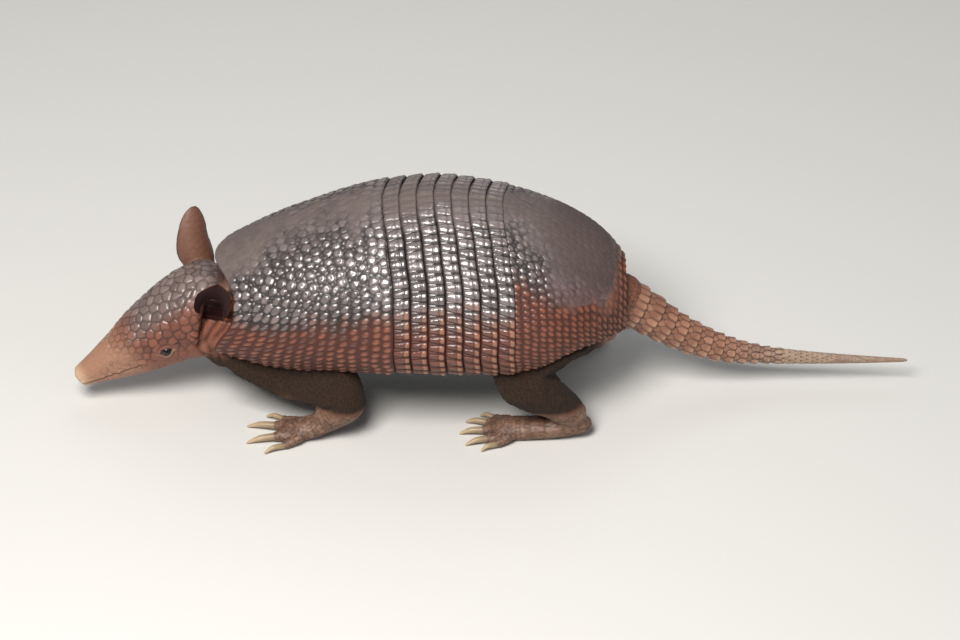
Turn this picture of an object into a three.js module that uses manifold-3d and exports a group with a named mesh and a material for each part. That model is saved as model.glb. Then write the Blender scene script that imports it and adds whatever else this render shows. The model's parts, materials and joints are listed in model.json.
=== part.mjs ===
// A seven-banded armadillo, life size, standing with its head lowered: 430 mm from nose to tail tip.
// Millimetres, +Z up. The nose points to -X, the tail to +X, and the animal's left flank is at -Y.
// The soles are at z = 0. The horny plates lie over a trunk, head and tail of flesh, a small gap apart.
import * as THREE from "three";
import { LoftGeometry } from "three/addons/geometries/LoftGeometry.js";
import { mergeVertices } from "three/addons/utils/BufferGeometryUtils.js";
import Module from "manifold-3d";

const wasm = await Module();
wasm.setup();
const { degToRad, lerp, clamp, mapLinear, smoothstep } = THREE.MathUtils;

// ---- Driving dimensions ----
const GAP = 0.3; // between two pieces that touch
const UNDER_SHELL = 0.9; // from the plates' inner faces to the flesh, room for both surfaces' facets
const LEFT = -1;
const RIGHT = 1;

// The shell: its arched back line, its width and its lower margin.
const SHELL_FRONT_X = -141; // front edge on the midline
const SHELL_REAR_X = 69; // rear edge, round the root of the tail
const PEAK_X = -27;
const PEAK_Z = 119.5;
const FRONT_DROP = 36.5;
const REAR_DROP = 31;
const RUMP_DROP = 10.5; // the last steep fall to the tail
const SHELL_HALF_WIDTH = 57.5;
const FRONT_NARROWING = 25;
const REAR_NARROWING = 40;
const WIDEST_Z = 66; // height of the widest line, mid body
const WIDEST_FALL = 10; // how much lower it is at both ends
const BELLY_Z = 21;
const MARGIN_Z = 45; // lower margin of the shell, mid body
const SHOULDER_HANG = { at: -108, spread: 22, by: -7 }; // it hangs lower over the shoulder
const HIP_RISE = { at: 45, spread: 22, by: 9.5 }; // and rises over the hip
const PLATE = 3; // thickness of the shell plates
const EAR_NOTCH = 11; // how far the shield's front edge is set back behind the ears

// The plates along the back. Their cross edges run forward towards the midline of the back.
const BANDS = 7;
const SCAPULAR_REAR_X = -50;
const BAND_PITCH = 8.7;
const PELVIC_FRONT_X = SCAPULAR_REAR_X + BANDS * BAND_PITCH;
const FORWARD_ON_BACK = 6.5;
const STEP = 1.1; // each plate's rear edge stands over the next one's front

// The head, in a group of its own: its axis runs from the nose back to the nape.
const NOSE = new THREE.Vector3(-213.4, -14, 15.6);
const HEAD_PITCH = degToRad(30.5);
const HEAD_YAW = degToRad(12); // turned a little to its left
const HEAD_ROLL = degToRad(5); // with its left side lower
const JAW_SQUARENESS = 2.7; // exponent of the lower half's curve; 2 is an ellipse
const HEAD_SHIELD = { from: 23, to: 86, thick: 1.6, proud: 0.5 };
const HEAD_STATIONS = [
  // along the axis, half width, height above the axis, depth below it
  { s: 0, half: 3.4, up: 2.6, down: 3.4 },
  { s: 2.5, half: 5.1, up: 4.4, down: 5.6 },
  { s: 12, half: 7.4, up: 6.6, down: 9.4 },
  { s: 24, half: 10.6, up: 9.8, down: 14.4 },
  { s: 38, half: 15, up: 13.8, down: 17.4 },
  { s: 52, half: 18.4, up: 16.6, down: 19.6 },
  { s: 68, half: 20.8, up: 18.6, down: 23.4 },
  { s: 82, half: 21.4, up: 17.8, down: 26 },
  { s: 93, half: 19, up: 14, down: 24 },
];
const EYE = { s: 50.3, side: 15.7, up: -3.2, radius: 3.4 };
const EAR = { s: 85.5, side: 17, up: 6, length: 34.5, width: 18.5, wall: 1.1, lean: 29, turn: 18, tilt: 4 };

// The neck, from inside the back of the head to inside the chest.
const NAPE = { s: 74, up: -3, r: 19 };
const NECK_STATIONS = [
  { at: [-141, -1, 48], r: 24 },
  { at: [-130, 0, 46], r: 28 },
  { at: [-112, 0, 50], r: 31 },
];

// The tail: points on its centre line, with its radius at each.
const TAIL_STATIONS = [
  { at: [66, 0, 54.5], r: 13.4 },
  { at: [79, 0, 46.6], r: 11.4 },
  { at: [93, 0, 36.4], r: 9.8 },
  { at: [106.5, 0.4, 28.8], r: 8.7 },
  { at: [122, 1, 22.6], r: 7 },
  { at: [139, 1.6, 19.2], r: 4.9 },
  { at: [155, 2, 17.4], r: 3.8 },
  { at: [172, 2.2, 16.3], r: 2.9 },
  { at: [190, 2.2, 15.6], r: 2.1 },
  { at: [214.9, 1.8, 15.3], r: 0.9 },
];
const TAIL_RINGS = 12;
const FIRST_RING = 9.8; // length of the ring next to the body
const RING_SHRINK = 0.955; // each ring to the one before it

// The legs. Stations run from the body to the ankle, then from the heel to the toes.
const FORE = {
  name: "fore",
  leg: [
    { at: [-126, 21, 40], r: 14.5 },
    { at: [-107, 31, 34], r: 16 },
    { at: [-87, 38, 30], r: 14 },
    { at: [-79, 42.5, 22], r: 10.5 },
    { at: [-88, 43, 12], r: 7.8 },
  ],
  foot: [
    { at: [-86, 43, 12], r: 7.4 },
    { at: [-95, 43, 6.6], r: 7.6 },
    { at: [-103, 43, 4.3], r: 7.4 },
    { at: [-107, 43, 3.8], r: 5.4 },
  ],
  toes: [
    { across: -7.6, long: 5, r: 2.6, claw: 8 },
    { across: -2.7, long: 8.5, r: 3.3, claw: 14 },
    { across: 2.7, long: 8.5, r: 3.3, claw: 13.5 },
    { across: 7.8, long: 4, r: 2.6, claw: 8.5 },
  ],
};
const HIND = {
  name: "hind",
  leg: [
    { at: [36, 29, 58], r: 17 },
    { at: [22, 38, 45], r: 16.5 },
    { at: [22, 42, 34], r: 14 },
    { at: [37, 43, 23], r: 10 },
    { at: [47, 42, 13], r: 7.8 },
  ],
  foot: [
    { at: [51, 42, 7], r: 6.2 },
    { at: [40, 42, 5.4], r: 7 },
    { at: [24, 42, 4.5], r: 7.6 },
    { at: [14, 42, 4.2], r: 7.8 },
    { at: [9, 42, 3.8], r: 5.4 },
  ],
  toes: [
    { across: -8.2, long: 3, r: 2.6, claw: 6.5 },
    { across: -4.3, long: 7, r: 3, claw: 10 },
    { across: 0, long: 8.6, r: 3.2, claw: 11.5 },
    { across: 4.3, long: 7, r: 3, claw: 10 },
    { across: 8.2, long: 2.5, r: 2.6, claw: 6.5 },
  ],
};
const STEPS = { fore_left: -5, fore_right: 7, hind_left: 6, hind_right: -5 }; // how far forward each is set
const SOLE_FLATNESS = 0.72; // height of the foot to its width
const TOE_SPREAD = 0.06; // how far each toe turns outward along its length, for each mm from the middle

const FINISHES = {
  shell: { color: 0x4a3d37, roughness: 0.35, metalness: 0 },
  skin: { color: 0x6e4738, roughness: 0.6, metalness: 0 },
  ear: { color: 0x5b3a30, roughness: 0.6, metalness: 0 },
  eye: { color: 0x0d0a09, roughness: 0.08, metalness: 0 },
  claw: { color: 0x9a8468, roughness: 0.4, metalness: 0 },
};

// ---- Small helpers ----
// The values of a table of stations at a place along it, on a smooth curve through them.
function between(stations, key, place) {
  const last = stations.length - 1;
  let i = 0;
  while (i < last - 1 && place > stations[i + 1][key]) i++;
  const width = stations[i + 1][key] - stations[i][key];
  const t = clamp((place - stations[i][key]) / width, 0, 1);
  const before = Math.max(i - 1, 0);
  const after = Math.min(i + 2, last);
  const found = {};
  for (const name of Object.keys(stations[0])) {
    const slope = (a, b) => (stations[b][name] - stations[a][name]) / (stations[b][key] - stations[a][key]);
    found[name] =
      stations[i][name] * (2 * t ** 3 - 3 * t ** 2 + 1) +
      slope(before, i + 1) * width * (t ** 3 - 2 * t ** 2 + t) +
      stations[i + 1][name] * (3 * t ** 2 - 2 * t ** 3) +
      slope(i, after) * width * (t ** 3 - t ** 2);
  }
  return found;
}

function bump(x, { at, spread, by }) {
  return by * Math.exp(-(((x - at) / spread) ** 2));
}

function middleOf(ring) {
  return ring.reduce((sum, p) => sum.add(p), new THREE.Vector3()).divideScalar(ring.length);
}

// The sum of a ring's corner cross products, which points along its axis.
function windingOf(ring) {
  const sum = new THREE.Vector3();
  ring.forEach((p, i) => sum.add(new THREE.Vector3().crossVectors(p, ring[(i + 1) % ring.length])));
  return sum;
}

// A closed geometry through rings of points, capped at both ends, its rings turned to face outward.
function loft(rings) {
  const ahead = middleOf(rings[1]).sub(middleOf(rings[0]));
  const outward = windingOf(rings[0]).dot(ahead) > 0;
  const turned = outward ? rings : rings.map((ring) => [...ring].reverse());
  const made = new LoftGeometry(turned, { capStart: true, capEnd: true });
  const plain = new THREE.BufferGeometry();
  plain.setAttribute("position", made.getAttribute("position"));
  plain.setIndex(made.getIndex());
  return plain;
}

// A closed curved slab: pointAt(row, column, layer) gives its outer face (layer 0) and inner face (layer 1).
// Rows run along its length, columns from its left to its right.
function slab(rows, columns, pointAt) {
  const points = [];
  for (let layer = 0; layer < 2; layer++) {
    for (let i = 0; i <= rows; i++) {
      for (let j = 0; j <= columns; j++) points.push(pointAt(i, j, layer));
    }
  }
  const at = (layer, i, j) => (layer * (rows + 1) + i) * (columns + 1) + j;
  const faces = [];
  const quad = (a, b, c, d) => faces.push(a, b, c, a, c, d);
  for (let i = 0; i < rows; i++) {
    for (let j = 0; j < columns; j++) {
      quad(at(0, i, j), at(0, i + 1, j), at(0, i + 1, j + 1), at(0, i, j + 1));
      quad(at(1, i, j), at(1, i, j + 1), at(1, i + 1, j + 1), at(1, i + 1, j));
    }
    quad(at(0, i, 0), at(1, i, 0), at(1, i + 1, 0), at(0, i + 1, 0));
    quad(at(0, i, columns), at(0, i + 1, columns), at(1, i + 1, columns), at(1, i, columns));
  }
  for (let j = 0; j < columns; j++) {
    quad(at(0, 0, j), at(0, 0, j + 1), at(1, 0, j + 1), at(1, 0, j));
    quad(at(0, rows, j), at(1, rows, j), at(1, rows, j + 1), at(0, rows, j + 1));
  }
  const geometry = new THREE.BufferGeometry().setFromPoints(points);
  geometry.setIndex(faces);
  return geometry;
}

// A manifold solid of a closed geometry, facing outward also if the geometry was mirrored.
function solidOf(geometry, mirrored = false) {
  geometry.deleteAttribute("normal");
  geometry.deleteAttribute("uv");
  const merged = mergeVertices(geometry, 1e-4);
  const triVerts = new Uint32Array(merged.index.array);
  if (mirrored) triVerts.reverse();
  const vertProperties = merged.attributes.position.array;
  return new wasm.Manifold(new wasm.Mesh({ numProp: 3, vertProperties, triVerts }));
}

// A named mesh of a solid's largest body, without the crumbs that a cut can leave.
function piece(name, finish, solid) {
  const body = solid.decompose().sort((a, b) => b.volume() - a.volume())[0];
  const mesh = body.getMesh();
  const geometry = new THREE.BufferGeometry();
  geometry.setAttribute("position", new THREE.BufferAttribute(mesh.vertProperties, 3));
  geometry.setIndex(new THREE.BufferAttribute(mesh.triVerts, 1));
  geometry.computeVertexNormals();
  const made = new THREE.Mesh(geometry, new THREE.MeshStandardMaterial(FINISHES[finish]));
  made.name = name;
  return made;
}

// A smooth line through stations, and the radius at t along it.
function lineOf(stations) {
  return new THREE.CatmullRomCurve3(stations.map((station) => new THREE.Vector3(...station.at)));
}

function radiusOf(stations, t) {
  const place = t * (stations.length - 1);
  const low = Math.min(Math.floor(place), stations.length - 2);
  return lerp(stations[low].r, stations[low + 1].r, place - low);
}

// A tube of elliptical rings square to a line, from t = from to t = to.
function tube(line, radiusAt, { rings, sides, from = 0, to = 1, flat = 1 }) {
  const made = [];
  for (let i = 0; i <= rings; i++) {
    const t = lerp(from, to, i / rings);
    const centre = line.getPoint(t);
    const forward = line.getTangent(t);
    const across = new THREE.Vector3(0, 1, 0).addScaledVector(forward, -forward.y).normalize();
    const up = new THREE.Vector3().crossVectors(forward, across);
    const ring = [];
    for (let j = 0; j < sides; j++) {
      const turn = (2 * Math.PI * (j + 0.5)) / sides;
      const out = across.clone().multiplyScalar(Math.cos(turn)).addScaledVector(up, flat * Math.sin(turn));
      ring.push(centre.clone().addScaledVector(out, radiusAt(t)));
    }
    made.push(ring);
  }
  return solidOf(loft(made));
}

function limb(stations, { grow = 0, ...shape }) {
  return tube(lineOf(stations), (t) => radiusOf(stations, t) + grow, shape);
}

// ---- The body's cross-sections ----
// At x: the height of the back, the half width, and the heights of the widest line, belly and shell margin.
function bodyAt(x) {
  const toNose = Math.max(0, PEAK_X - x) / (PEAK_X - SHELL_FRONT_X);
  const toTail = Math.max(0, x - PEAK_X) / (SHELL_REAR_X - PEAK_X);
  const ahead = Math.max(0, x / SHELL_FRONT_X);
  const behind = Math.max(0, x / SHELL_REAR_X);
  return {
    top: PEAK_Z - FRONT_DROP * toNose ** 1.78 - REAR_DROP * toTail ** 1.4 - RUMP_DROP * toTail ** 12,
    half: SHELL_HALF_WIDTH - FRONT_NARROWING * ahead ** 2.8 - REAR_NARROWING * behind ** 2.7,
    widest: WIDEST_Z - WIDEST_FALL * (ahead ** 2 + behind ** 2),
    belly: BELLY_Z + 5 * ahead ** 4 + 12 * behind ** 2,
    margin: MARGIN_Z + bump(x, SHOULDER_HANG) + bump(x, HIP_RISE),
  };
}

// The angle from the back's midline at which the shell ends.
function marginAngle(x) {
  const body = bodyAt(clamp(x, SHELL_FRONT_X, SHELL_REAR_X));
  return Math.acos(-(body.widest - body.margin) / (body.widest - body.belly));
}

// A point of the body's surface. The angle is 0 on the back and pi under the belly.
function surfacePoint(x, angle) {
  const body = bodyAt(x);
  const height = Math.cos(angle) > 0 ? body.top - body.widest : body.widest - body.belly;
  return new THREE.Vector3(x, body.half * Math.sin(angle), body.widest + height * Math.cos(angle));
}

// The same point moved inward by a depth, square to the surface.
function bodyPoint(x, angle, depth) {
  const small = 0.01;
  const along = surfacePoint(x + small, angle).sub(surfacePoint(x - small, angle));
  const round = surfacePoint(x, angle + small).sub(surfacePoint(x, angle - small));
  const inward = round.cross(along).normalize();
  return surfacePoint(x, angle).addScaledVector(inward, depth);
}

// A plate over the body. front and rear give its x for an angle as a share of the margin's, and lift
// raises its surface from front to rear.
function shellPlate({ front, rear, rows, lift }, grow = 0) {
  const columns = 18;
  const pointAt = (i, j, layer) => {
    const share = (2 * j) / columns - 1;
    const along = i / rows;
    const x = lerp(front(share) - grow, rear(share) + grow, along);
    const angle = share * (marginAngle(x) + grow / SHELL_HALF_WIDTH);
    return bodyPoint(x, angle, layer === 0 ? -lift(along) - grow : PLATE + grow);
  };
  return solidOf(slab(rows, columns, pointAt));
}

// ---- Shell ----
// A cross edge that meets the flank at x, and runs forward towards the midline.
function crossEdge(x) {
  const toFlank = (share) => Math.min(1, Math.abs(share) / 0.62);
  return (share) => x - FORWARD_ON_BACK * (1 - toFlank(share) ** 1.2) ** 1.6;
}

function shellPlates() {
  const rearEdge = crossEdge(SCAPULAR_REAR_X);
  const plates = {
    scapular_shield: {
      front: (share) => SHELL_FRONT_X + EAR_NOTCH * Math.sin(Math.PI * share) ** 2,
      rear: (share) => rearEdge(share) - GAP,
      rows: 7,
      lift: (along) => STEP * smoothstep(along, 0.55, 1),
    },
  };
  for (let n = 0; n < BANDS; n++) {
    const edge = crossEdge(SCAPULAR_REAR_X + n * BAND_PITCH);
    plates[`band_${n + 1}`] = {
      front: edge,
      rear: (share) => edge(share) + BAND_PITCH - GAP,
      rows: 1,
      lift: (along) => STEP * along,
    };
  }
  plates.pelvic_shield = {
    front: crossEdge(PELVIC_FRONT_X),
    rear: () => SHELL_REAR_X,
    rows: 6,
    lift: () => 0,
  };
  return plates;
}

// The space that the plates take.
function shellSpace(plates) {
  const grown = Object.values(plates).map((plate) => shellPlate(plate, GAP));
  return grown.reduce((space, plate) => space.add(plate));
}

// ---- Trunk and neck ----
function trunkSolid(grow) {
  const inset = PLATE + UNDER_SHELL - grow;
  const rings = [];
  const rows = 14;
  const sides = 18;
  for (let i = 0; i <= rows; i++) {
    const x = lerp(SHELL_FRONT_X + 12 - grow, SHELL_REAR_X - 3.5 + grow, i / rows);
    const ring = [];
    for (let j = 0; j < sides; j++) ring.push(bodyPoint(x, (2 * Math.PI * j) / sides, inset));
    rings.push(ring);
  }
  return solidOf(loft(rings));
}

const headGroup = new THREE.Group();
headGroup.position.copy(NOSE);
headGroup.rotation.set(HEAD_ROLL, -HEAD_PITCH, HEAD_YAW, "ZYX");
headGroup.updateMatrixWorld(true);

function neckSolid(grow) {
  const nape = new THREE.Vector3(NAPE.s, 0, NAPE.up).applyMatrix4(headGroup.matrixWorld);
  const stations = [{ at: nape.toArray(), r: NAPE.r }, ...NECK_STATIONS];
  return limb(stations, { rings: 6, sides: 16, grow });
}

// ---- Head ----
// A point on the head's surface in the head's own frame: s along +X, angle 0 on top. The lower half is
// squarer than the upper.
function headPoint(s, angle, inset) {
  const head = between(HEAD_STATIONS, "s", s);
  const c = Math.cos(angle);
  const side = Math.sin(angle);
  if (c > 0) return new THREE.Vector3(s, (head.half - inset) * side, (head.up - inset) * c);
  const power = JAW_SQUARENESS;
  const reach = (Math.abs(c) ** power + Math.abs(side) ** power) ** (-1 / power);
  return new THREE.Vector3(s, (head.half - inset) * side * reach, (head.down - inset) * c * reach);
}

function headSolid(grow) {
  const rings = [];
  const rows = 12;
  const sides = 16;
  const length = HEAD_STATIONS.at(-1).s;
  for (let i = 0; i <= rows; i++) {
    const s = length * (i / rows) ** 1.25;
    const ring = [];
    for (let j = 0; j < sides; j++) ring.push(headPoint(s, (2 * Math.PI * j) / sides, -grow));
    rings.push(ring);
  }
  return solidOf(loft(rings));
}

// The shield on top of the head: narrow over the snout, down to the eyes, and cut short between the ears.
function headShieldSolid(grow) {
  const rows = 6;
  const columns = 6;
  const pointAt = (i, j, layer) => {
    const share = (2 * j) / columns - 1;
    const along = i / rows;
    const reach = 1.15 * Math.sin(Math.PI * (0.14 + 0.74 * along)) ** 0.8;
    const from = HEAD_SHIELD.from - grow;
    const s = lerp(from, HEAD_SHIELD.to + grow, along) + 5 * share ** 2 * (0.5 - along);
    const proud = HEAD_SHIELD.proud;
    const depth = layer === 0 ? -proud - grow : HEAD_SHIELD.thick - proud + grow;
    return headPoint(s, share * (reach + grow / 15), depth);
  };
  return solidOf(slab(rows, columns, pointAt));
}

function eyeSolid(side, grow) {
  const eye = new THREE.SphereGeometry(EYE.radius + grow, 10, 6);
  eye.translate(EYE.s, side * EYE.side, EYE.up);
  return solidOf(eye);
}

// An ear: a leaf rolled into a cup, narrow at its root, open to the side and a little forward.
function earSolid(side) {
  const rows = 8;
  const columns = 6;
  const pointAt = (i, j, layer) => {
    const along = i / rows;
    const root = 0.6 + 0.4 * Math.sin((Math.PI / 2) * Math.min(1, along / 0.4));
    const tip = Math.sqrt(Math.max(0.02, 1 - Math.max(0, (along - 0.4) / 0.6) ** 2.6));
    const half = (EAR.width / 2) * root * tip;
    const curl = lerp(2, 0.85, Math.min(1, along * 1.4)); // half angle of the roll
    const radius = half / Math.sin(Math.min(curl, Math.PI / 2));
    const angle = curl * ((2 * j) / columns - 1);
    const r = layer === 0 ? radius : radius - EAR.wall;
    const bulge = -1.6 * Math.sin(Math.PI * along); // the front edge is the rounder one
    return new THREE.Vector3(r * Math.sin(angle) + bulge, r * Math.cos(angle) - radius, along * EAR.length);
  };
  const geometry = slab(rows, columns, pointAt);
  geometry.translate(0, 3, -4);
  geometry.rotateZ(degToRad(-EAR.turn));
  geometry.rotateX(degToRad(EAR.lean));
  geometry.rotateY(HEAD_PITCH - degToRad(EAR.tilt));
  if (side === RIGHT) geometry.scale(1, -1, 1);
  geometry.translate(EAR.s, side * EAR.side, EAR.up);
  return solidOf(geometry, side === RIGHT);
}

function headPieces(bodyRoom) {
  const shieldRoom = headShieldSolid(GAP);
  const toHead = headGroup.matrixWorld.clone().invert().toArray();
  const bodyHere = bodyRoom.transform(toHead);
  let flesh = headSolid(0).subtract(shieldRoom).subtract(bodyHere);
  for (const side of [LEFT, RIGHT]) flesh = flesh.subtract(eyeSolid(side, GAP));
  const headRoom = headSolid(GAP).add(shieldRoom).add(bodyHere).add(neckSolid(GAP).transform(toHead));
  return [
    piece("head", "skin", flesh),
    piece("head_shield", "shell", headShieldSolid(0).subtract(bodyHere)),
    piece("eye_left", "eye", eyeSolid(LEFT, 0)),
    piece("eye_right", "eye", eyeSolid(RIGHT, 0)),
    piece("ear_left", "ear", earSolid(LEFT).subtract(headRoom)),
    piece("ear_right", "ear", earSolid(RIGHT).subtract(headRoom)),
  ];
}

// ---- Tail ----
function tailPieces(bodyRoom) {
  const line = lineOf(TAIL_STATIONS);
  const total = line.getLength();
  const tOf = (distance) => line.getUtoTmapping(distance / total);
  const made = [];
  let start = 0;
  for (let n = 1; n <= TAIL_RINGS; n++) {
    const end = start + FIRST_RING * RING_SHRINK ** (n - 1);
    const from = tOf(start);
    const to = tOf(end - GAP);
    // Each ring widens toward its rear edge, which stands over the next ring.
    const flared = (t) => radiusOf(TAIL_STATIONS, t) * mapLinear(t, from, to, 0.93, 1.05);
    const ring = tube(line, flared, { rings: 1, sides: 14, from, to });
    made.push(piece(`tail_ring_${n}`, "shell", ring.subtract(bodyRoom)));
    start = end;
  }
  const tip = { rings: 7, sides: 10, from: tOf(start) };
  made.push(piece("tail_tip", "shell", tube(line, (t) => radiusOf(TAIL_STATIONS, t), tip)));
  return made;
}

// ---- Legs and feet ----
const FLOOR = solidOf(new THREE.BoxGeometry(600, 300, 60).translate(0, 0, -30));

function moved(stations, side, step) {
  return stations.map(({ at: [x, y, z], r }) => ({ at: [x - step, side * y, z], r }));
}

// One toe from the end of the foot, and its claw, which meets the toe's end and curves down to the floor.
function toeStations(kind, toe, side, step) {
  const [endX, endY] = kind.foot.at(-2).at;
  const turn = side * toe.across * TOE_SPREAD;
  const at = (along, z) => [endX - step - along, side * (endY + toe.across) + turn * along, z];
  const tip = 4 + toe.long;
  const claw = tip + 2 * GAP;
  return {
    toe: [
      { at: at(-1, 4.4), r: toe.r },
      { at: at(tip / 2, toe.r + 0.2), r: toe.r },
      { at: at(tip, toe.r - 0.3), r: toe.r * 0.86 },
    ],
    claw: [
      { at: at(claw, toe.r - 0.2), r: toe.r * 0.62 },
      { at: at(claw + toe.claw * 0.5, 3.1), r: toe.r * 0.5 },
      { at: at(claw + toe.claw, 0.8), r: 0.6 },
    ],
  };
}

function legPieces(kind, side, bodyRoom) {
  const label = side === LEFT ? "left" : "right";
  const step = STEPS[`${kind.name}_${label}`];
  const legLine = moved(kind.leg, side, step);
  legLine[0].at[0] += step; // the hip or shoulder stays with the body
  const footLine = moved(kind.foot, side, step);
  const footShape = { rings: 4, sides: 8, flat: SOLE_FLATNESS };
  const toes = kind.toes.map((toe) => toeStations(kind, toe, side, step));
  const bare = limb(footLine, footShape);
  const foot = toes.reduce((joined, { toe }) => joined.add(limb(toe, { rings: 2, sides: 6 })), bare);
  const footRoom = limb(footLine, { ...footShape, grow: GAP });
  const leg = limb(legLine, { rings: 6, sides: 10 }).subtract(footRoom).subtract(bodyRoom);
  return [
    piece(`${kind.name}_leg_${label}`, "skin", leg.subtract(FLOOR)),
    piece(`${kind.name}_foot_${label}`, "skin", foot.subtract(FLOOR)),
    ...toes.map(({ claw }, i) => {
      const horn = limb(claw, { rings: 3, sides: 6 }).subtract(FLOOR);
      return piece(`${kind.name}_claw_${label}_${i + 1}`, "claw", horn);
    }),
  ];
}

// ---- The whole animal ----
const armadillo = new THREE.Group();
const plates = shellPlates();
const bodyRoom = trunkSolid(GAP).add(shellSpace(plates));
armadillo.add(piece("trunk", "skin", trunkSolid(0)));
const headRoom = headSolid(GAP).add(headShieldSolid(GAP)).transform(headGroup.matrixWorld.toArray());
armadillo.add(piece("neck", "skin", neckSolid(0).subtract(headRoom).subtract(bodyRoom)));
headGroup.add(...headPieces(bodyRoom));
armadillo.add(headGroup);
for (const [name, plate] of Object.entries(plates)) armadillo.add(piece(name, "shell", shellPlate(plate)));
armadillo.add(...tailPieces(bodyRoom));
const legRoom = bodyRoom.add(neckSolid(GAP));
for (const kind of [FORE, HIND]) {
  for (const side of [LEFT, RIGHT]) armadillo.add(...legPieces(kind, side, legRoom));
}

export default armadillo;
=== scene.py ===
# %% [markdown]
# # A seven-banded armadillo
#
# This script dresses the solids of a life-size armadillo. The solids give every main form, and Blender adds
# what the eye looks for: the scutes of the shell, the skin's folds, the lids round the eyes, and the colours.
# The animal stands with its head to -X, its tail to +X and its left flank towards -Y. The soles are at z = 0.

import json
import math

import bpy
import numpy as np
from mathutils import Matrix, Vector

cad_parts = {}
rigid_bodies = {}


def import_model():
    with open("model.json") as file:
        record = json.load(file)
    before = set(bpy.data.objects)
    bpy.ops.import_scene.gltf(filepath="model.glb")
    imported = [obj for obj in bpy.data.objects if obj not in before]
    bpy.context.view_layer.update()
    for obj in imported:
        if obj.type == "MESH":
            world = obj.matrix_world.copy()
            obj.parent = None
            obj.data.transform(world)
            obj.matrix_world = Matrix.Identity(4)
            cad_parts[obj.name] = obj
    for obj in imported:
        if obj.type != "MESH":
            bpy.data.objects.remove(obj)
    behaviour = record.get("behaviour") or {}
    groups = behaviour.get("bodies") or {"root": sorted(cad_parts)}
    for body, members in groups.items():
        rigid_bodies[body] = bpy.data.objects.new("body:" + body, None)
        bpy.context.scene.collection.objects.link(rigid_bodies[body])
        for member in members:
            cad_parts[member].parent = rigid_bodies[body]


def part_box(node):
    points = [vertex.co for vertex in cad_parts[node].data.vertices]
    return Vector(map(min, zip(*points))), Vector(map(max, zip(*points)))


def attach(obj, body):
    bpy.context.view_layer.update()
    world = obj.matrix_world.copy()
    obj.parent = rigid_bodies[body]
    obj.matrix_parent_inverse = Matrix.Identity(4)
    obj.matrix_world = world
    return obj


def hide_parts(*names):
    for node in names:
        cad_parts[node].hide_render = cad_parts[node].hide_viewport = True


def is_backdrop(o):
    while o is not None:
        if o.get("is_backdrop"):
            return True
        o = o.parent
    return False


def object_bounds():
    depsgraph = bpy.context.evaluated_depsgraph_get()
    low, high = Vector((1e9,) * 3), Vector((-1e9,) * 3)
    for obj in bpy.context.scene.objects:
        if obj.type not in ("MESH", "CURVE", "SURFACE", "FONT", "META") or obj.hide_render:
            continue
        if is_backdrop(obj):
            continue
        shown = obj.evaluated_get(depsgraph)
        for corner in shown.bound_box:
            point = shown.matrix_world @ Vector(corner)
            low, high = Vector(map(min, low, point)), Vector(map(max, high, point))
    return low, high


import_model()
CAD_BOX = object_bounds()
print("the solids reach from", tuple(CAD_BOX[0]), "to", tuple(CAD_BOX[1]))

# %% [markdown]
# ## Small helpers
#
# An animal of 43 cm is easiest to think of in millimetres, so all shapes are worked out in them, with numpy.
# Only the functions that write or read a mesh change between them and Blender's metres. The first of those
# takes all points and faces at once, which is far faster than adding them one by one.
#
# Each mesh can carry masks. A mask is a number at every point, such as "how deep in a groove", and the
# materials read it to colour exactly what the shape shows.

# %% Ramps and blends
MM = 0.001


def ramp(value, low, high):
    """0 below low, 1 above high, and a smooth rise between them."""
    t = np.clip((value - low) / (high - low), 0.0, 1.0)
    return t * t * (3.0 - 2.0 * t)


def lerp(a, b, t):
    return a + (b - a) * t


def hump(value, middle, width):
    """1 at the middle, falling smoothly to almost 0 two widths away, as a bell does."""
    return np.exp(-(((value - middle) / width) ** 2))


def eased(value):
    """0 below 0, 1 above 1, and a rise between them that starts steep and ends flat."""
    return 1 - (1 - np.clip(value, 0, 1)) ** 2


def unit(vectors):
    return vectors / np.linalg.norm(vectors, axis=-1, keepdims=True)


# %% A mesh from arrays
def volume_of(points, quads, others):
    """Six times the signed volume of a closed mesh: negative when its faces point inward."""
    a, b, c, d = (points[quads[:, n]] for n in range(4))
    total = np.sum(a * np.cross(b, c)) + np.sum(a * np.cross(c, d))
    for polygon in others:
        corners = points[polygon]
        total += np.sum(corners.mean(axis=0) * np.cross(corners, np.roll(corners, -1, axis=0)))
    return total


def add_masks(mesh, masks):
    for key, values in masks.items():
        mask = mesh.attributes.new(key, "FLOAT", "POINT")
        mask.data.foreach_set("value", np.asarray(values, np.float32).ravel())


def new_piece(name, points, quads, others=(), masks=None):
    """A smooth-shaded object from points in millimetres, quads, and other polygons."""
    quads = np.asarray(quads)
    others = [list(polygon) for polygon in others]
    if volume_of(points, quads, others) < 0:
        quads = quads[:, ::-1]
        others = [polygon[::-1] for polygon in others]
    corners = np.concatenate([quads.ravel()] + [np.array(polygon) for polygon in others])
    sizes = np.array([4] * len(quads) + [len(polygon) for polygon in others])
    mesh = bpy.data.meshes.new(name)
    mesh.vertices.add(len(points))
    mesh.vertices.foreach_set("co", (points * MM).astype(np.float32).ravel())
    mesh.loops.add(len(corners))
    mesh.loops.foreach_set("vertex_index", corners.astype(np.int32))
    mesh.polygons.add(len(sizes))
    mesh.polygons.foreach_set("loop_start", np.concatenate([[0], np.cumsum(sizes)[:-1]]).astype(np.int32))
    mesh.polygons.foreach_set("use_smooth", np.ones(len(sizes), bool))
    mesh.update(calc_edges=True)
    add_masks(mesh, masks or {})
    made = bpy.data.objects.new(name, mesh)
    bpy.context.scene.collection.objects.link(made)
    return made


def count_triangles(piece):
    return sum(len(face.vertices) - 2 for face in piece.data.polygons)


# %% Grids, noise and chance
HASH = {"first": 12.9898, "second": 78.233, "salt": 37.719, "spread": 43758.5453}


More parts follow.
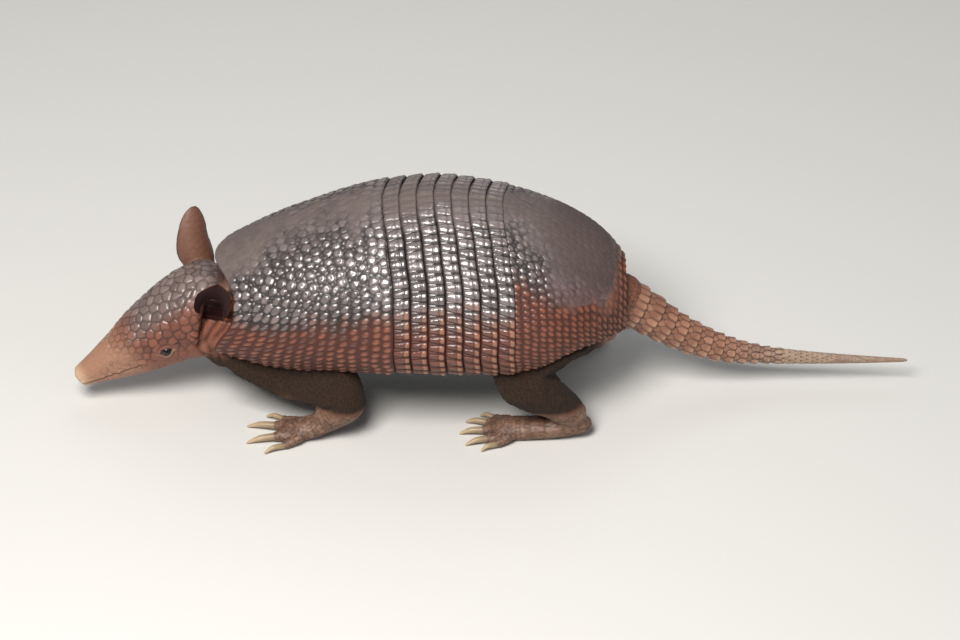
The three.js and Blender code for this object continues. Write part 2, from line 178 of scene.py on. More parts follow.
def grid_quads(rows, columns, start=0, wrap=False):
    """The quads of a grid of points stored row by row. wrap joins its last column to its first."""
    i, j = np.meshgrid(np.arange(rows - 1), np.arange(columns if wrap else columns - 1), indexing="ij")
    right = (j + 1) % columns
    corners = [i * columns + j, (i + 1) * columns + j, (i + 1) * columns + right, i * columns + right]
    return start + np.stack(corners, -1).reshape(-1, 4)


def noise(points, size, seed):
    """Smooth noise, mostly from -1 to 1, with lumps of about the size given, as a sum of twelve waves."""
    draw = np.random.default_rng(seed)
    total = np.zeros(points.shape[:-1])
    for _ in range(12):
        direction = unit(draw.normal(size=3)) * draw.uniform(0.6, 1.5)
        total += np.sin(points @ direction * (2 * math.pi / size) + draw.uniform(0, 2 * math.pi))
    return total / 4.0


def softened(grid):
    """A grid of values, each blended with its neighbours in its row and its column."""
    for axis in (0, 1):
        before = np.concatenate([np.take(grid, [0], axis), np.delete(grid, -1, axis)], axis)
        after = np.concatenate([np.delete(grid, 0, axis), np.take(grid, [-1], axis)], axis)
        grid = 0.5 * grid + 0.25 * (before + after)
    return grid


def chance(a, b, salt):
    """A number from 0 to 1 that looks random and is always the same for the same a, b and salt."""
    mixed = np.sin(a * HASH["first"] + b * HASH["second"] + salt * HASH["salt"]) * HASH["spread"]
    return mixed - np.floor(mixed)


# %% [markdown]
# ## The sections of the body
#
# Cut an armadillo across and the cut is close to two half ellipses: a tall one over the widest line and a
# flatter one under it. The back line, the width, the widest line and the belly each change along the body
# by a simple curve. Any point of the shell is then a place x along the body and an angle, which is 0 on the
# back and half a turn under the belly. The ends of the shell are read from the frame.
#
# A plate needs more than the surface itself: its outer face lies a little above it and its inner face below
# it. The last function here moves a point square to the surface, along the cross product of its two
# directions.

# %% The body's surface
shell_front_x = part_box("scapular_shield")[0].x / MM
shell_rear_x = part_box("pelvic_shield")[1].x / MM
BACK = {"peak_x": -27.0, "peak_z": 119.5, "front_drop": 36.5, "rear_drop": 31.0, "rump_drop": 10.5}
FLANK = {"half_width": 57.5, "front_narrowing": 25.0, "rear_narrowing": 40.0}
WIDEST = {"z": 66.0, "fall": 10.0}
BELLY = {"z": 21.0, "front_rise": 5.0, "rear_rise": 12.0}
MARGIN = {"z": 45.0, "shoulder_x": -108.0, "shoulder": -7.0, "hip_x": 45.0, "hip": 9.5, "spread": 22.0}
MARGIN["low_ahead"] = 2.0  # ahead of the hips the plates reach this much lower


def body_at(x):
    """The heights of the back, the widest line, the belly and the shell's margin, and the half width."""
    to_nose = np.maximum(0, BACK["peak_x"] - x) / (BACK["peak_x"] - shell_front_x)
    to_tail = np.maximum(0, x - BACK["peak_x"]) / (shell_rear_x - BACK["peak_x"])
    ahead = np.maximum(0, x / shell_front_x)
    behind = np.maximum(0, x / shell_rear_x)
    top = BACK["peak_z"] - BACK["front_drop"] * to_nose**1.78
    top = top - BACK["rear_drop"] * to_tail**1.4 - BACK["rump_drop"] * to_tail**12
    half = FLANK["half_width"] - FLANK["front_narrowing"] * ahead**2.8
    half = half - FLANK["rear_narrowing"] * behind**2.7
    widest = WIDEST["z"] - WIDEST["fall"] * (ahead**2 + behind**2)
    belly = BELLY["z"] + BELLY["front_rise"] * ahead**4 + BELLY["rear_rise"] * behind**2
    margin = MARGIN["z"] + MARGIN["shoulder"] * hump(x, MARGIN["shoulder_x"], MARGIN["spread"])
    margin = margin + MARGIN["hip"] * hump(x, MARGIN["hip_x"], MARGIN["spread"])
    return top, half, widest, belly, margin


def margin_angle(x):
    """The angle from the back's midline at which the shell ends."""
    _, _, widest, belly, margin = body_at(np.clip(x, shell_front_x, shell_rear_x))
    margin = margin - MARGIN["low_ahead"] * ramp(x, 40, 20)
    return np.arccos(-(widest - margin) / (widest - belly))


def surface(x, angle):
    top, half, widest, belly, _ = body_at(x)
    height = np.where(np.cos(angle) > 0, top - widest, widest - belly)
    return np.stack([x + 0 * angle, half * np.sin(angle), widest + height * np.cos(angle)], -1)


def body_point(x, angle, out):
    """A point of the body's surface, moved outward by a distance square to it."""
    small = 0.01
    along = surface(x + small, angle) - surface(x - small, angle)
    around = surface(x, angle + small) - surface(x, angle - small)
    return surface(x, angle) + unit(np.cross(along, around)) * np.asarray(out)[..., None]


print("shell from x =", round(shell_front_x, 1), "to", round(shell_rear_x, 1), "mm")

# %% [markdown]
# ## Writing shaders as sums
#
# A material is a graph of nodes, but most of it is plain arithmetic. The class below wraps one output of a
# node, so that `1 - mask * 0.5` adds the Math nodes for it. Colours can't go through Math nodes, which would
# turn them grey, so they are blended by Mix nodes. Every other node comes from one method, which takes its
# type, its settings and its inputs.
#
# A second class holds one material. Numbers that are the same all over a surface, such as a coat's
# roughness, go straight onto the shader's own sockets when it is made.

# %% A socket that can be added and multiplied
class Value:
    """One output of a node, or the sum, difference or product of some."""

    def __init__(self, finish, socket):
        self.finish = finish
        self.socket = socket

    def math(self, operation, first, second):
        return self.finish.node("ShaderNodeMath", {"operation": operation}, {0: first, 1: second})

    def __add__(self, other):
        return self.math("ADD", self, other)

    def __sub__(self, other):
        return self.math("SUBTRACT", self, other)

    def __mul__(self, other):
        return self.math("MULTIPLY", self, other)

    def __rsub__(self, other):
        return self.math("SUBTRACT", other, self)

    __radd__ = __add__
    __rmul__ = __mul__


# %% A material and its nodes
class Finish:
    """A Principled material, with methods that add the nodes of its detail."""

    def __init__(self, name, **constants):
        self.material = bpy.data.materials.new(name)
        self.material.use_nodes = True
        self.tree = self.material.node_tree
        self.shader = self.tree.nodes["Principled BSDF"]
        for key, value in constants.items():
            self.shader.inputs[key.replace("_", " ")].default_value = value

    def node(self, kind, settings=None, inputs=None, output=0):
        made = self.tree.nodes.new(kind)
        for key, value in (settings or {}).items():
            setattr(made, key, value)
        for key, value in (inputs or {}).items():
            if isinstance(value, Value):
                self.tree.links.new(value.socket, made.inputs[key])
            else:
                made.inputs[key].default_value = value
        return Value(self, made.outputs[output])

    def mask(self, name):
        return self.node("ShaderNodeAttribute", {"attribute_name": name}, output=2)

    def place(self):
        return self.node("ShaderNodeTexCoord", output=3)

    def grain(self, size, detail=2.0, rough=0.5):
        """Noise with lumps of a size in millimetres, from about 0 to 1."""
        scale = 1 / (size * MM)
        inputs = {"Vector": self.place(), "Scale": scale, "Detail": detail, "Roughness": rough}
        return self.node("ShaderNodeTexNoise", None, inputs)

    def strands(self, size, length):
        """Noise drawn out along Z, like short hairs that hang down."""
        stretch = (1.0, 1.0, size / length)
        drawn = self.node("ShaderNodeMapping", None, {"Vector": self.place(), "Scale": stretch})
        inputs = {"Vector": drawn, "Scale": 1 / (size * MM), "Detail": 2.0}
        return self.node("ShaderNodeTexNoise", None, inputs)

    def cells(self, size):
        """Distance to the borders of random cells of a size in millimetres."""
        inputs = {"Vector": self.place(), "Scale": 1 / (size * MM)}
        return self.node("ShaderNodeTexVoronoi", {"feature": "DISTANCE_TO_EDGE"}, inputs)

    def rise(self, value, low, high):
        """0 below low, 1 above high, and a smooth rise between them."""
        inputs = {"Value": value, "From Min": low, "From Max": high}
        return self.node("ShaderNodeMapRange", {"interpolation_type": "SMOOTHSTEP"}, inputs)

    def mix(self, base, other, amount):
        inputs = {0: amount, 6: base, 7: other}
        return self.node("ShaderNodeMix", {"data_type": "RGBA"}, inputs, output=2)

    def feed(self, socket, value):
        self.tree.links.new(value.socket, self.shader.inputs[socket])

    def bump(self, height, distance):
        """height raises the surface by up to distance, in millimetres."""
        inputs = {"Height": height, "Distance": distance * MM, "Strength": 1.0}
        self.feed("Normal", self.node("ShaderNodeBump", None, inputs))


def tint(red, green, blue):
    """A colour from its screen values, from 0 to 255, as the linear values that shaders need."""
    linear = [((v / 255 + 0.055) / 1.055) ** 2.4 if v > 10 else v / 255 / 12.92 for v in (red, green, blue)]
    return (*linear, 1.0)


# %% [markdown]
# ## The finish of the shell
#
# The scutes are horn over bone: grey-brown and glossy on the back, red-brown and duller low on the flanks,
# and pale tan where their rear edges are worn. Along the top they are dusty and have no gloss left, and their
# paler colour there is dust and also a painted sheen, a pale reflection of the sky. Over the hips the grey is
# painted darker, a painted shade for the weaker light on the rump, and it turns maroon towards the flank.
# Dirt and painted shade fill the grooves. The relief carries masks for all of this, so the material mostly
# blends colours by mask, and two noises, one cloudy and one fine, break up each colour. The gloss is a clear
# coat over a rougher ground, as on old horn.

# %% Horny scutes of the shell
HORN_TINTS = {
    "back": (tint(62, 52, 50), tint(122, 108, 105)),  # each pair runs from the dark scutes to the light ones
    "side": (tint(60, 25, 15), tint(140, 76, 48)),
    # the dusty top: real dust, and a painted sheen, a pale reflection of the sky
    "dust_and_sheen": (tint(82, 72, 69), tint(112, 98, 92)),
    "groove": (tint(26, 20, 19), tint(70, 32, 22)),  # from the back's grooves to the flank's
    # painted shade: the hips are darkened towards this colour, where less light falls on the rump
    "worn_edge": tint(186, 146, 114),
    "hip": tint(58, 36, 32),
    "maroon": tint(92, 52, 43),
}


def shell_finish():
    horn = Finish("horny_scutes", Coat_Roughness=0.3, Coat_IOR=2.0)
    flank, groove, tone = horn.mask("flank"), horn.mask("groove"), horn.mask("tone")
    dust_and_sheen, strip, shade = horn.mask("dust_and_sheen"), horn.mask("strip"), horn.mask("shade")
    cloudy = horn.grain(22, 3)
    fine = horn.grain(1.4, 3, 0.6)
    low = horn.rise(flank + (cloudy - 0.5) * 0.16 + (tone - 0.5) * 0.05, 0.55, 0.7)
    mottle = tone * 0.75 + fine * 0.45 - 0.08
    back = horn.mix(*HORN_TINTS["back"], mottle)
    side = horn.mix(*HORN_TINTS["side"], mottle)
    ground = horn.mix(*HORN_TINTS["groove"], low)
    colour = horn.mix(back, side, low)
    colour = horn.mix(colour, HORN_TINTS["worn_edge"], strip * low * 0.3)
    colour = horn.mix(colour, ground, groove)
    # dust, and a painted sheen of the sky, on the top of the back
    dust_and_sheen_colour = horn.mix(*HORN_TINTS["dust_and_sheen"], cloudy * 0.5 + fine * 0.5)
    colour = horn.mix(colour, dust_and_sheen_colour, dust_and_sheen * 0.8)
    # painted shade over the hips, through the shade mask
    colour = horn.mix(colour, HORN_TINTS["hip"], shade * (1 - low) * 0.52)
    maroon = horn.rise(flank + (cloudy - 0.5) * 0.2, 0.34, 0.56) * (1 - low) * (1 - dust_and_sheen)
    colour = horn.mix(colour, HORN_TINTS["maroon"], maroon * shade * 0.6)
    horn.feed("Base Color", colour)
    horn.feed("Roughness", 0.27 + fine * 0.16 + groove * 0.3 + dust_and_sheen * 0.33)
    horn.feed("Coat Weight", (1 - dust_and_sheen) * (1 - groove) * (1 - low * (shade * 0.2 + 0.65)) * 0.95)
    horn.bump(fine * 0.6 + horn.grain(0.5, 2) * 0.4, 0.09)
    return horn.material


shell_material = shell_finish()
print("shell finish:", len(shell_material.node_tree.nodes), "nodes")

# %% Horny rings of the tail
TAIL_TINTS = {
    "near": (tint(112, 70, 52), tint(158, 112, 88)),
    "far": (tint(112, 90, 76), tint(164, 142, 122)),
    "scute_end": tint(198, 160, 130),
    "groove": tint(56, 32, 25),
}


def tail_finish():
    """Red-brown near the rump and greyer further out, with pale ends to the scutes."""
    horn = Finish("tail_horn", Coat_Roughness=0.2)
    groove, tone, tip, far = horn.mask("groove"), horn.mask("tone"), horn.mask("strip"), horn.mask("far")
    fine = horn.grain(1.2, 3, 0.6)
    mottle = tone * 0.6 + fine * 0.45
    near_colour = horn.mix(*TAIL_TINTS["near"], mottle)
    far_colour = horn.mix(*TAIL_TINTS["far"], mottle)
    colour = horn.mix(near_colour, far_colour, horn.rise(far, 0.3, 0.8))
    colour = horn.mix(colour, TAIL_TINTS["scute_end"], tip * 0.6)
    colour = horn.mix(colour, TAIL_TINTS["groove"], groove * 0.9)
    horn.feed("Base Color", colour)
    horn.feed("Roughness", 0.34 + fine * 0.2 + groove * 0.3)
    horn.feed("Coat Weight", (1 - groove) * 0.35)
    horn.bump(fine * 0.6 + horn.grain(0.45, 2) * 0.4, 0.07)
    return horn.material


tail_material = tail_finish()
print("tail finish:", len(tail_material.node_tree.nodes), "nodes")

# %% [markdown]
# ## The plates of the shell
#
# A plate is a curved slab. Its outer face needs a fine grid, because every scute is real relief there, but
# nobody sees its inner face, so that one keeps only a few of the rows. The rows of the grid are spread
# evenly along the surface and not along x, or they would stretch where the rump falls to the tail.
#
# The slab has to be closed, so four walls join its two faces. Along the flanks the outer face has more rows
# than the inner one, and each wall panel there is one polygon with many corners.

# %% A closed slab from an outer and an inner face
def slab_piece(name, outer, inner, inner_rows, masks):
    """A slab. inner holds the inner face's points at the outer grid's rows that inner_rows names."""
    rows, columns = outer.shape[:2]
    points = np.concatenate([outer.reshape(-1, 3), inner.reshape(-1, 3)])
    first = rows * columns
    quads = [grid_quads(rows, columns), grid_quads(len(inner_rows), columns, start=first)[:, ::-1]]
    j = np.arange(columns - 1)
    quads.append(np.stack([j, j + 1, first + j + 1, first + j], -1))
    last_outer = (rows - 1) * columns
    last_inner = first + (len(inner_rows) - 1) * columns
    quads.append(np.stack([last_outer + j, last_inner + j, last_inner + j + 1, last_outer + j + 1], -1))
    walls = []
    for n in range(len(inner_rows) - 1):
        span = np.arange(inner_rows[n], inner_rows[n + 1] + 1) * columns
        near, far = first + n * columns, first + (n + 1) * columns
        walls.append([span[0], near, far, *span[:0:-1]])
        walls.append([*(span + columns - 1), far + columns - 1, near + columns - 1])
    kept = {}
    for key, values in masks.items():
        kept[key] = np.concatenate([values.ravel(), values[inner_rows].ravel()])
    return new_piece(name, points, np.concatenate(quads), walls, kept)


# %% A plate's grid on the body
PLATE = 3.0
STEP = 1.1  # how far a plate's rear edge stands over the next plate
RELIEF = 0.8  # the scutes' tops reach the solid's surface, and the ground between them is this much lower


def plate_grid(front, rear, rows, columns):
    """x, angle and distance from the midline at each point, the share of the way to the margin, and the
    length of each column."""
    share = np.linspace(-1, 1, columns)
    x = lerp(front(share), rear(share), np.linspace(0, 1, 60)[:, None])
    steps = np.linalg.norm(np.diff(surface(x, share * margin_angle(x)), axis=0), axis=-1)
    travelled = np.concatenate([np.zeros((1, columns)), np.cumsum(steps, 0)])
    even = []
    for j in range(columns):
        places = np.linspace(0, travelled[-1, j], rows)
        even.append(np.interp(places, travelled[:, j], x[:, j]))
    x = np.stack(even, 1)
    angle = share * margin_angle(x)
    steps = np.linalg.norm(np.diff(surface(x, angle), axis=1), axis=-1)
    sideways = np.concatenate([np.zeros((rows, 1)), np.cumsum(steps, 1)], 1)
    sideways -= sideways[:, [columns // 2]]
    return x, angle, sideways, share, travelled[-1]


# %% [markdown]
# ## Round scutes of the shields
#
# On the two shields every scute is a low round knob, about 5 mm across on the shoulder and 4 mm on the hip.
# The rows run parallel to the bands, and each gap between three knobs holds a tiny one. At a shield's rear
# edge the last two rows are broader and have no tiny ones, and they get a light tone as a painted highlight.
# Low on the flanks the knobs stand further apart.
#
# They are made as a weighted Voronoi pattern: every point belongs to the scute whose circle is nearest, and
# the distance to the border between two scutes tells how far the surface has sunk into the groove. The
# circles sit a little off their places, by a hash of their row and number, so no two scutes are quite alike.

# %% Weighted Voronoi scutes
# Shares of the pitch: the radii, and how far a scute may stray high on the back and low on the flank.
SCUTE = {"round": 0.44, "tiny": 0.15, "loose_high": 0.5, "loose_low": 0.2}
NARROWER_PAST = 55.0  # this far from the midline the scutes start to get narrower
ROW_PITCH = 1.06  # of a scute's size
LAST_ROWS = 1.2  # rows up to this number, counted from the rear edge, are the broad ones


def round_scutes(along, sideways, length, low, size, salt):
    """Height from 0 to 1, depth in the grooves, and a tone for each scute: random, but light on the broad
    rear rows as a painted highlight. low says how far down the flank each point is: the knobs stand further
    apart there."""
    sideways = sideways + 0.35 * np.sign(sideways) * np.maximum(0, np.abs(sideways) - NARROWER_PAST)
    rows = round(float(np.median(length)) / (ROW_PITCH * size))
    width = sideways[:, -1] - sideways[:, 0]
    row_length = length / rows
    place = (1 - along) * rows - 0.5
    best = np.full((2,) + place.shape, 1e9)
    centre = np.zeros((2, 2) + place.shape)
    tone = np.zeros(place.shape)
    tiny = np.zeros(place.shape)
    bar = np.zeros(place.shape)
    for step in (-1, 0, 1):
        row = np.round(place) + step
        wide = np.interp(1 - (row + 0.5) / rows, along[:, 0], width)
        pitch = wide / np.round(wide / size)
        for beside, radius in ((0, SCUTE["round"]), (-1 / 3, SCUTE["tiny"]), (1 / 3, SCUTE["tiny"])):
            shift = 0.5 * (row % 2) + (0.5 if beside else 0)
            for hop in (-1, 0, 1):
                number = np.round(sideways / pitch - shift) + hop
                loose = lerp(SCUTE["loose_high"], SCUTE["loose_low"], low) * (1 if beside == 0 else 0.5)
                off_row = row + beside + loose * (chance(row, number, salt + beside) - 0.5)
                off_side = (number + shift + loose * (chance(row, number, salt + 7 + beside) - 0.5)) * pitch
                up, side = (place - off_row) * row_length, sideways - off_side
                last = row + beside < LAST_ROWS
                swell = 1 + lerp(0.42, 0.2, low) * (chance(row, number, salt + 3) - 0.5)
                swell = np.where(last, 1.15 if beside == 0 else 0.2, swell)
                power = up**2 + side**2 - (radius * swell * pitch) ** 2
                broad = last & (beside == 0)
                first, second = power < best[0], power < best[1]
                best[1] = np.where(first, best[0], np.where(second, power, best[1]))
                centre[1] = np.where(first, centre[0], np.where(second, [up, side], centre[1]))
                best[0] = np.where(first, power, best[0])
                centre[0] = np.where(first, [up, side], centre[0])
                tone = np.where(first, chance(row, number, salt + 11 + beside), tone)
                tiny = np.where(first, float(beside != 0), tiny)
                bar = np.where(first, broad.astype(float), bar)
    apart = np.linalg.norm(centre[0] - centre[1], axis=0) + 1e-6
    border = (best[1] - best[0]) / (2 * apart)
    away = np.sum(centre[0] ** 2, axis=0)
    reach = size * lerp(0.52, 0.43, low) * lerp(1.0, 0.5, tiny)
    ball = np.sqrt(np.clip(1 - away / reach**2, 0, 1))
    sunk = np.clip(1 - (border - 0.05) / lerp(1.15, 1.1, low), 0, 1)
    pebble = (1 - sunk**2.2) * (1 - 0.12 * away / 4) - 0.16 * np.exp(-away / 0.8) * (1 - low) * (1 - bar)
    height = lerp(pebble, ball * ramp(border, -0.05, 0.4), 0.85 * low)
    height = height * lerp(1.0, lerp(0.75, 0.4, low), tiny)
    groove = 1 - ramp(height, lerp(0.25, 0.3, low), lerp(0.8, 1.08, low))
    # the broad rear rows get a light tone: a painted highlight
    return softened(height), softened(groove), np.maximum(tone, 0.9 * bar)


# %% [markdown]
# ## Where the shell is cut and where it is worn
#
# The cuts between the plates aren't straight: each meets the flanks further back than it crosses the back,
# and wavers by a fraction of a millimetre. A cut is a function that gives x for each share of the way to
# the margin, so the plate in front of it and the plate behind it use the same one.
#
# The top of the back is rubbed smooth and dusty, in a strip that widens in front and on the rump. Its edge
# is broken up by noise, as real wear is.

# %% Cuts and wear
BANDS = 7
BAND_PITCH = 8.7
GAP = 0.3
LIP = 0.9  # how far a plate's rear edge reaches over the next plate
EAR_NOTCH = 11.0  # how far the shoulder shield's front edge is cut back behind each ear
SCAPULAR_REAR_X = -50.0
PELVIC_FRONT_X = SCAPULAR_REAR_X + BANDS * BAND_PITCH
RUMP_RIM = {"from": 57.0, "to": 67.5}  # the last centimetre of the hip shield turns down to the tail
CUT = {"forward": 6.5, "straight_from": 0.62}


def cross_edge(x):
    """A cut between two plates, which meets the flanks at x and runs forward to the midline."""

    def edge(share):
        waver = 0.28 * np.sin(11 * share + 0.5) + 0.2 * np.sin(27 * share + 2)
        curve = (1 - np.minimum(1, np.abs(share) / CUT["straight_from"]) ** 1.2) ** 1.6
        return x + waver - CUT["forward"] * curve

    return edge


def dusty_back(x, share, more=0.0):
    """Where the back is dusty, from 0 to 1. more widens the strip, by a share of the way to the margin."""
    reach = 0.08 + more + 0.16 * ramp(x, -100, -130) + 0.38 * ramp(x, 8, 50)
    place = surface(x, share * margin_angle(x))
    edge = np.abs(share) + 0.05 * noise(place, 21.0, 14) + 0.04 * noise(place, 6.0, 15)
    return (1 - ramp(edge, reach - 0.09, reach + 0.15)) * ramp(x, RUMP_RIM["to"], RUMP_RIM["from"] + 1)


# %% [markdown]
# ## The two shields
#
# A shield's relief is the scutes' height on a slightly wavy ground. Where the back is worn, the scutes are
# flattened towards one level, and so are their grooves. The outer edges are rounded over, and the shoulder
# shield rises towards its rear, where it stands over the first band. The inner face keeps seven rows.

# %% The shields
MARGIN_LENGTH = 110.0  # roughly the distance from the midline to the margin
# the shade mask: where the hips are painted darker as painted shade, and where they may turn maroon
HIP_SHADE = {"from": 14.0, "to": 44.0}  # where the shell turns darker over the hips
WORN_LEVEL = {"flattened": 0.72, "height": 0.62}


def shield(name, front, rear, lip, rows, columns, size, salt):
    """One of the two shields. lip says if its rear edge stands over the next plate, size is a scute's."""
    x, angle, sideways, share, length = plate_grid(front, rear, rows, columns)
    along = np.linspace(0, 1, rows)[:, None] + 0 * share
    rim = ramp(x, RUMP_RIM["from"], RUMP_RIM["to"])
    # the flank's look reaches higher at the front of the hips and on the rump's rim
    flank = np.abs(share) + 0.2 * hump(x, 10, 20) + 0.6 * rim
    height, groove, tone = round_scutes(along, sideways, length, ramp(flank, 0.5, 0.65), size, salt)
    lift = STEP * ramp(along, 0.55, 1.0) * lip
    edge = np.minimum(np.minimum(along, 1 - along) * length, (1 - np.abs(share)) * MARGIN_LENGTH)
    rounded = eased(edge / 0.8)
    place = surface(x, angle)
    waver = 0.12 * noise(place, 26.0, salt)
    dust_and_sheen = dusty_back(x, share)
    worn = dusty_back(x, share, 0.17 * ramp(x, 16, 40))
    height = height + 0.1 * noise(place, 2.6, salt + 30) * ramp(height, 0.1, 0.5) * ramp(flank, 0.62, 0.5)
    height = height * (1 - WORN_LEVEL["flattened"] * worn) + WORN_LEVEL["height"] * worn
    tone = tone + 0.45 * ramp(x, 0, 30) * ramp(flank, 0.55, 0.7)
    out = lift - RELIEF - 0.2 + RELIEF * height + waver - 0.9 * (1 - rounded)
    inner_rows = np.round(np.array([0, 0.2, 0.4, 0.6, 0.8, 0.96, 1]) * (rows - 1)).astype(int)
    under = np.where(along > 0.985, lift - 0.75 - RELIEF, -PLATE) if lip else np.full_like(along, -PLATE)
    outer = body_point(x, angle, out)
    inner = body_point(x[inner_rows], angle[inner_rows], under[inner_rows])
    masks = {"groove": groove * (1 - 0.85 * worn), "flank": flank, "tone": tone, "dust_and_sheen": dust_and_sheen}
    masks |= {"strip": 0 * along, "shade": ramp(x, HIP_SHADE["from"], HIP_SHADE["to"])}
    made = slab_piece(name, outer, inner, inner_rows, masks)
    made.data.materials.append(shell_material)
    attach(made, "root")
    print(name, len(made.data.vertices), "points,", count_triangles(made), "triangles")
    return made


scapular_rear = cross_edge(SCAPULAR_REAR_X)
scapular = shield(
    "shoulder_shield",
    lambda share: shell_front_x + 0.3 + EAR_NOTCH * np.sin(math.pi * share) ** 2,
    lambda share: scapular_rear(share) + LIP,
    lip=1,
    rows=190,
    columns=500,
    size=5.2,
    salt=1,
)
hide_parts("scapular_shield")
pelvic = shield(
    "hip_shield",
    cross_edge(PELVIC_FRONT_X),
    lambda share: shell_rear_x - 0.3 + 0 * share,
    lip=0,
    rows=178,
    columns=500,
    size=4.2,
    salt=2,
)
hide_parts("pelvic_shield")

# %% [markdown]
# ## The seven bands
#
# Between the shields the shell is cut into bands that slide over one another when the animal curls. Here
# each scute is a long bar, narrow in front and wide behind, and a small wedge fills the gap between two bars
# in front. A notch crosses each bar near its rear end, and the beads behind the notches form a strip that
# stands over the front of the next band. Low on the flanks the bars are narrower, with darker gaps.
#
# One function gives the relief, and a loop makes the seven bands. Each band slips a little sideways and
# draws its own noise, so the rows of scutes don't line up from band to band.

# %% Band scutes
BAR = {"pitch": 5.3, "front": 0.3, "rear": 0.43, "narrower_low": 0.2, "relief": 1.05}


def band_scutes(along, sideways, length, low, number):
    """Height, groove, tone and rear strip of a band's scutes, which are narrower where low is 1."""
    slip = 0.3 * chance(number, 2.0, 5) + 0.35 * (number % 2)
    turn = sideways / BAR["pitch"] + slip
    scute = np.floor(turn)
    across = turn - scute - 0.5 + 0.06 * (chance(scute, number, 21) - 0.5)
    tone = chance(scute, number, 23)
    half = lerp(BAR["front"], BAR["rear"], ramp(along, 0.05, 0.7)) * lerp(0.9, 1.06, tone)
    half = half * (1 - BAR["narrower_low"] * low)
    profile = np.clip(1 - (across / half) ** 2, 0, 1) ** 0.46
    front_end = ramp(along, 0.08, 0.24)
    rear_end = np.sqrt(np.clip((1.01 - along) / 0.12, 0, 1))
    cut = lerp(0.66, 0.72, chance(scute, number, 27))
    notch = np.exp(-(((along - cut) * length / 0.42) ** 2))
    bar = profile * front_end * rear_end * (1 - 0.35 * notch) * (0.84 + 0.16 * np.sin(math.pi * along))
    between = (0.5 - np.abs(across)) / lerp(0.22, 0.08, np.clip(along / 0.65, 0, 1))
    wedge = 0.5 * np.sqrt(np.clip(1 - between**2, 0, 1)) * ramp(along, 0.1, 0.2) * ramp(along, 0.7, 0.5)
    height = np.maximum(bar, wedge)
    groove = np.maximum(1 - ramp(height, 0.12, 0.72), 0.6 * notch)
    strip = ramp(along, cut, cut + 0.08)
    return softened(height), softened(np.clip(groove, 0, 1)), tone, strip


# %% The bands
def band(number):
    """One band, with its rear edge over the next plate. It keeps five rows of its inner face."""
    front = cross_edge(SCAPULAR_REAR_X + (number - 1) * BAND_PITCH)
    rows, columns = 30, 860
    reach = BAND_PITCH - GAP + LIP
    x, angle, sideways, share, length = plate_grid(front, lambda s: front(s) + reach, rows, columns)
    along = np.linspace(0, 1, rows)[:, None] + 0 * share
    wander = 0.45 * noise(surface(x, angle), 30.0, 40 + number)
    flank = np.abs(share) + 0 * along
    height, groove, tone, strip = band_scutes(along, sideways + wander, length, ramp(flank, 0.5, 0.7), number)
    height = height + 0.07 * noise(surface(x, angle), 2.4, 60 + number) * ramp(height, 0.2, 0.6)
    # higher on the back the bands' tone is lifted, a painted sheen for their glints; low on the flank it
    # follows the pale rear strip
    tone = lerp(0.2 + 0.9 * tone, 0.05 + 0.4 * tone + 0.7 * strip, ramp(flank, 0.5, 0.68))
    dust_and_sheen = dusty_back(x, share)
    height = height * (1 - 0.6 * dust_and_sheen) + 0.4 * dust_and_sheen
    relief = BAR["relief"]
    lift = STEP * along
    edge = np.minimum((1 - along) * length, (1 - np.abs(share)) * MARGIN_LENGTH)
    rounded = eased(edge / 0.6)
    out = lift - relief - 0.15 + relief * height - 0.5 * (1 - rounded) - 0.35 * (1 - ramp(along, 0.04, 0.16))
    inner_rows = np.array([0, 15, 25, 27, rows - 1])
    under = lerp(-PLATE, STEP - relief - 0.85, ramp(along, 0.84, 0.9))
    outer = body_point(x, angle, out)
    inner = body_point(x[inner_rows], angle[inner_rows], under[inner_rows])
    groove = np.maximum(groove, 0.2 * ramp(flank, 0.58, 0.75))
    masks = {"groove": groove * (1 - 0.65 * dust_and_sheen), "flank": flank, "tone": tone, "dust_and_sheen": dust_and_sheen}
    masks |= {"strip": strip, "shade": 0 * along}
    made = slab_piece(f"movable_band_{number}", outer, inner, inner_rows, masks)
    made.data.materials.append(shell_material)
    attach(made, "root")
    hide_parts(f"band_{number}")
    return made


bands = [band(number) for number in range(1, BANDS + 1)]
print("bands:", sum(count_triangles(piece) for piece in bands), "triangles")

# %% [markdown]
# ## The tail
#
# The tail wears twelve rings of horn, each a row of small scutes and a row of large keeled ones, and beyond
# them a sheath of small overlapping scales. All are tubes round one smooth line, so a few stations shape the
# whole tail. The line is the centripetal curve that drawing programs use, which passes through its points
# without overshooting. The legs, toes and claws will use the same lines and tubes.

# %% Lines and tubes
def line_through(points, t):
    """Points of a smooth curve through stations, for t from 0 at the first to 1 at the last."""
    points = np.asarray(points, float)
    padded = np.vstack([2 * points[0] - points[1], points, 2 * points[-1] - points[-2]])
    place = np.clip(np.asarray(t) * (len(points) - 1), 0, len(points) - 1 - 1e-9)
    i = place.astype(int)
    w = (place - i)[..., None]
    p = [padded[i + n] for n in range(4)]
    gaps = [np.sqrt(np.linalg.norm(p[n + 1] - p[n], axis=-1, keepdims=True)) for n in range(3)]
    leave = (p[1] - p[0]) / gaps[0] - (p[2] - p[0]) / (gaps[0] + gaps[1]) + (p[2] - p[1]) / gaps[1]
    arrive = (p[2] - p[1]) / gaps[1] - (p[3] - p[1]) / (gaps[1] + gaps[2]) + (p[3] - p[2]) / gaps[2]
    start, end = p[1] * (2 * w**3 - 3 * w**2 + 1), p[2] * (3 * w**2 - 2 * w**3)
    return start + end + gaps[1] * (leave * (w**3 - 2 * w**2 + w) + arrive * (w**3 - w**2))


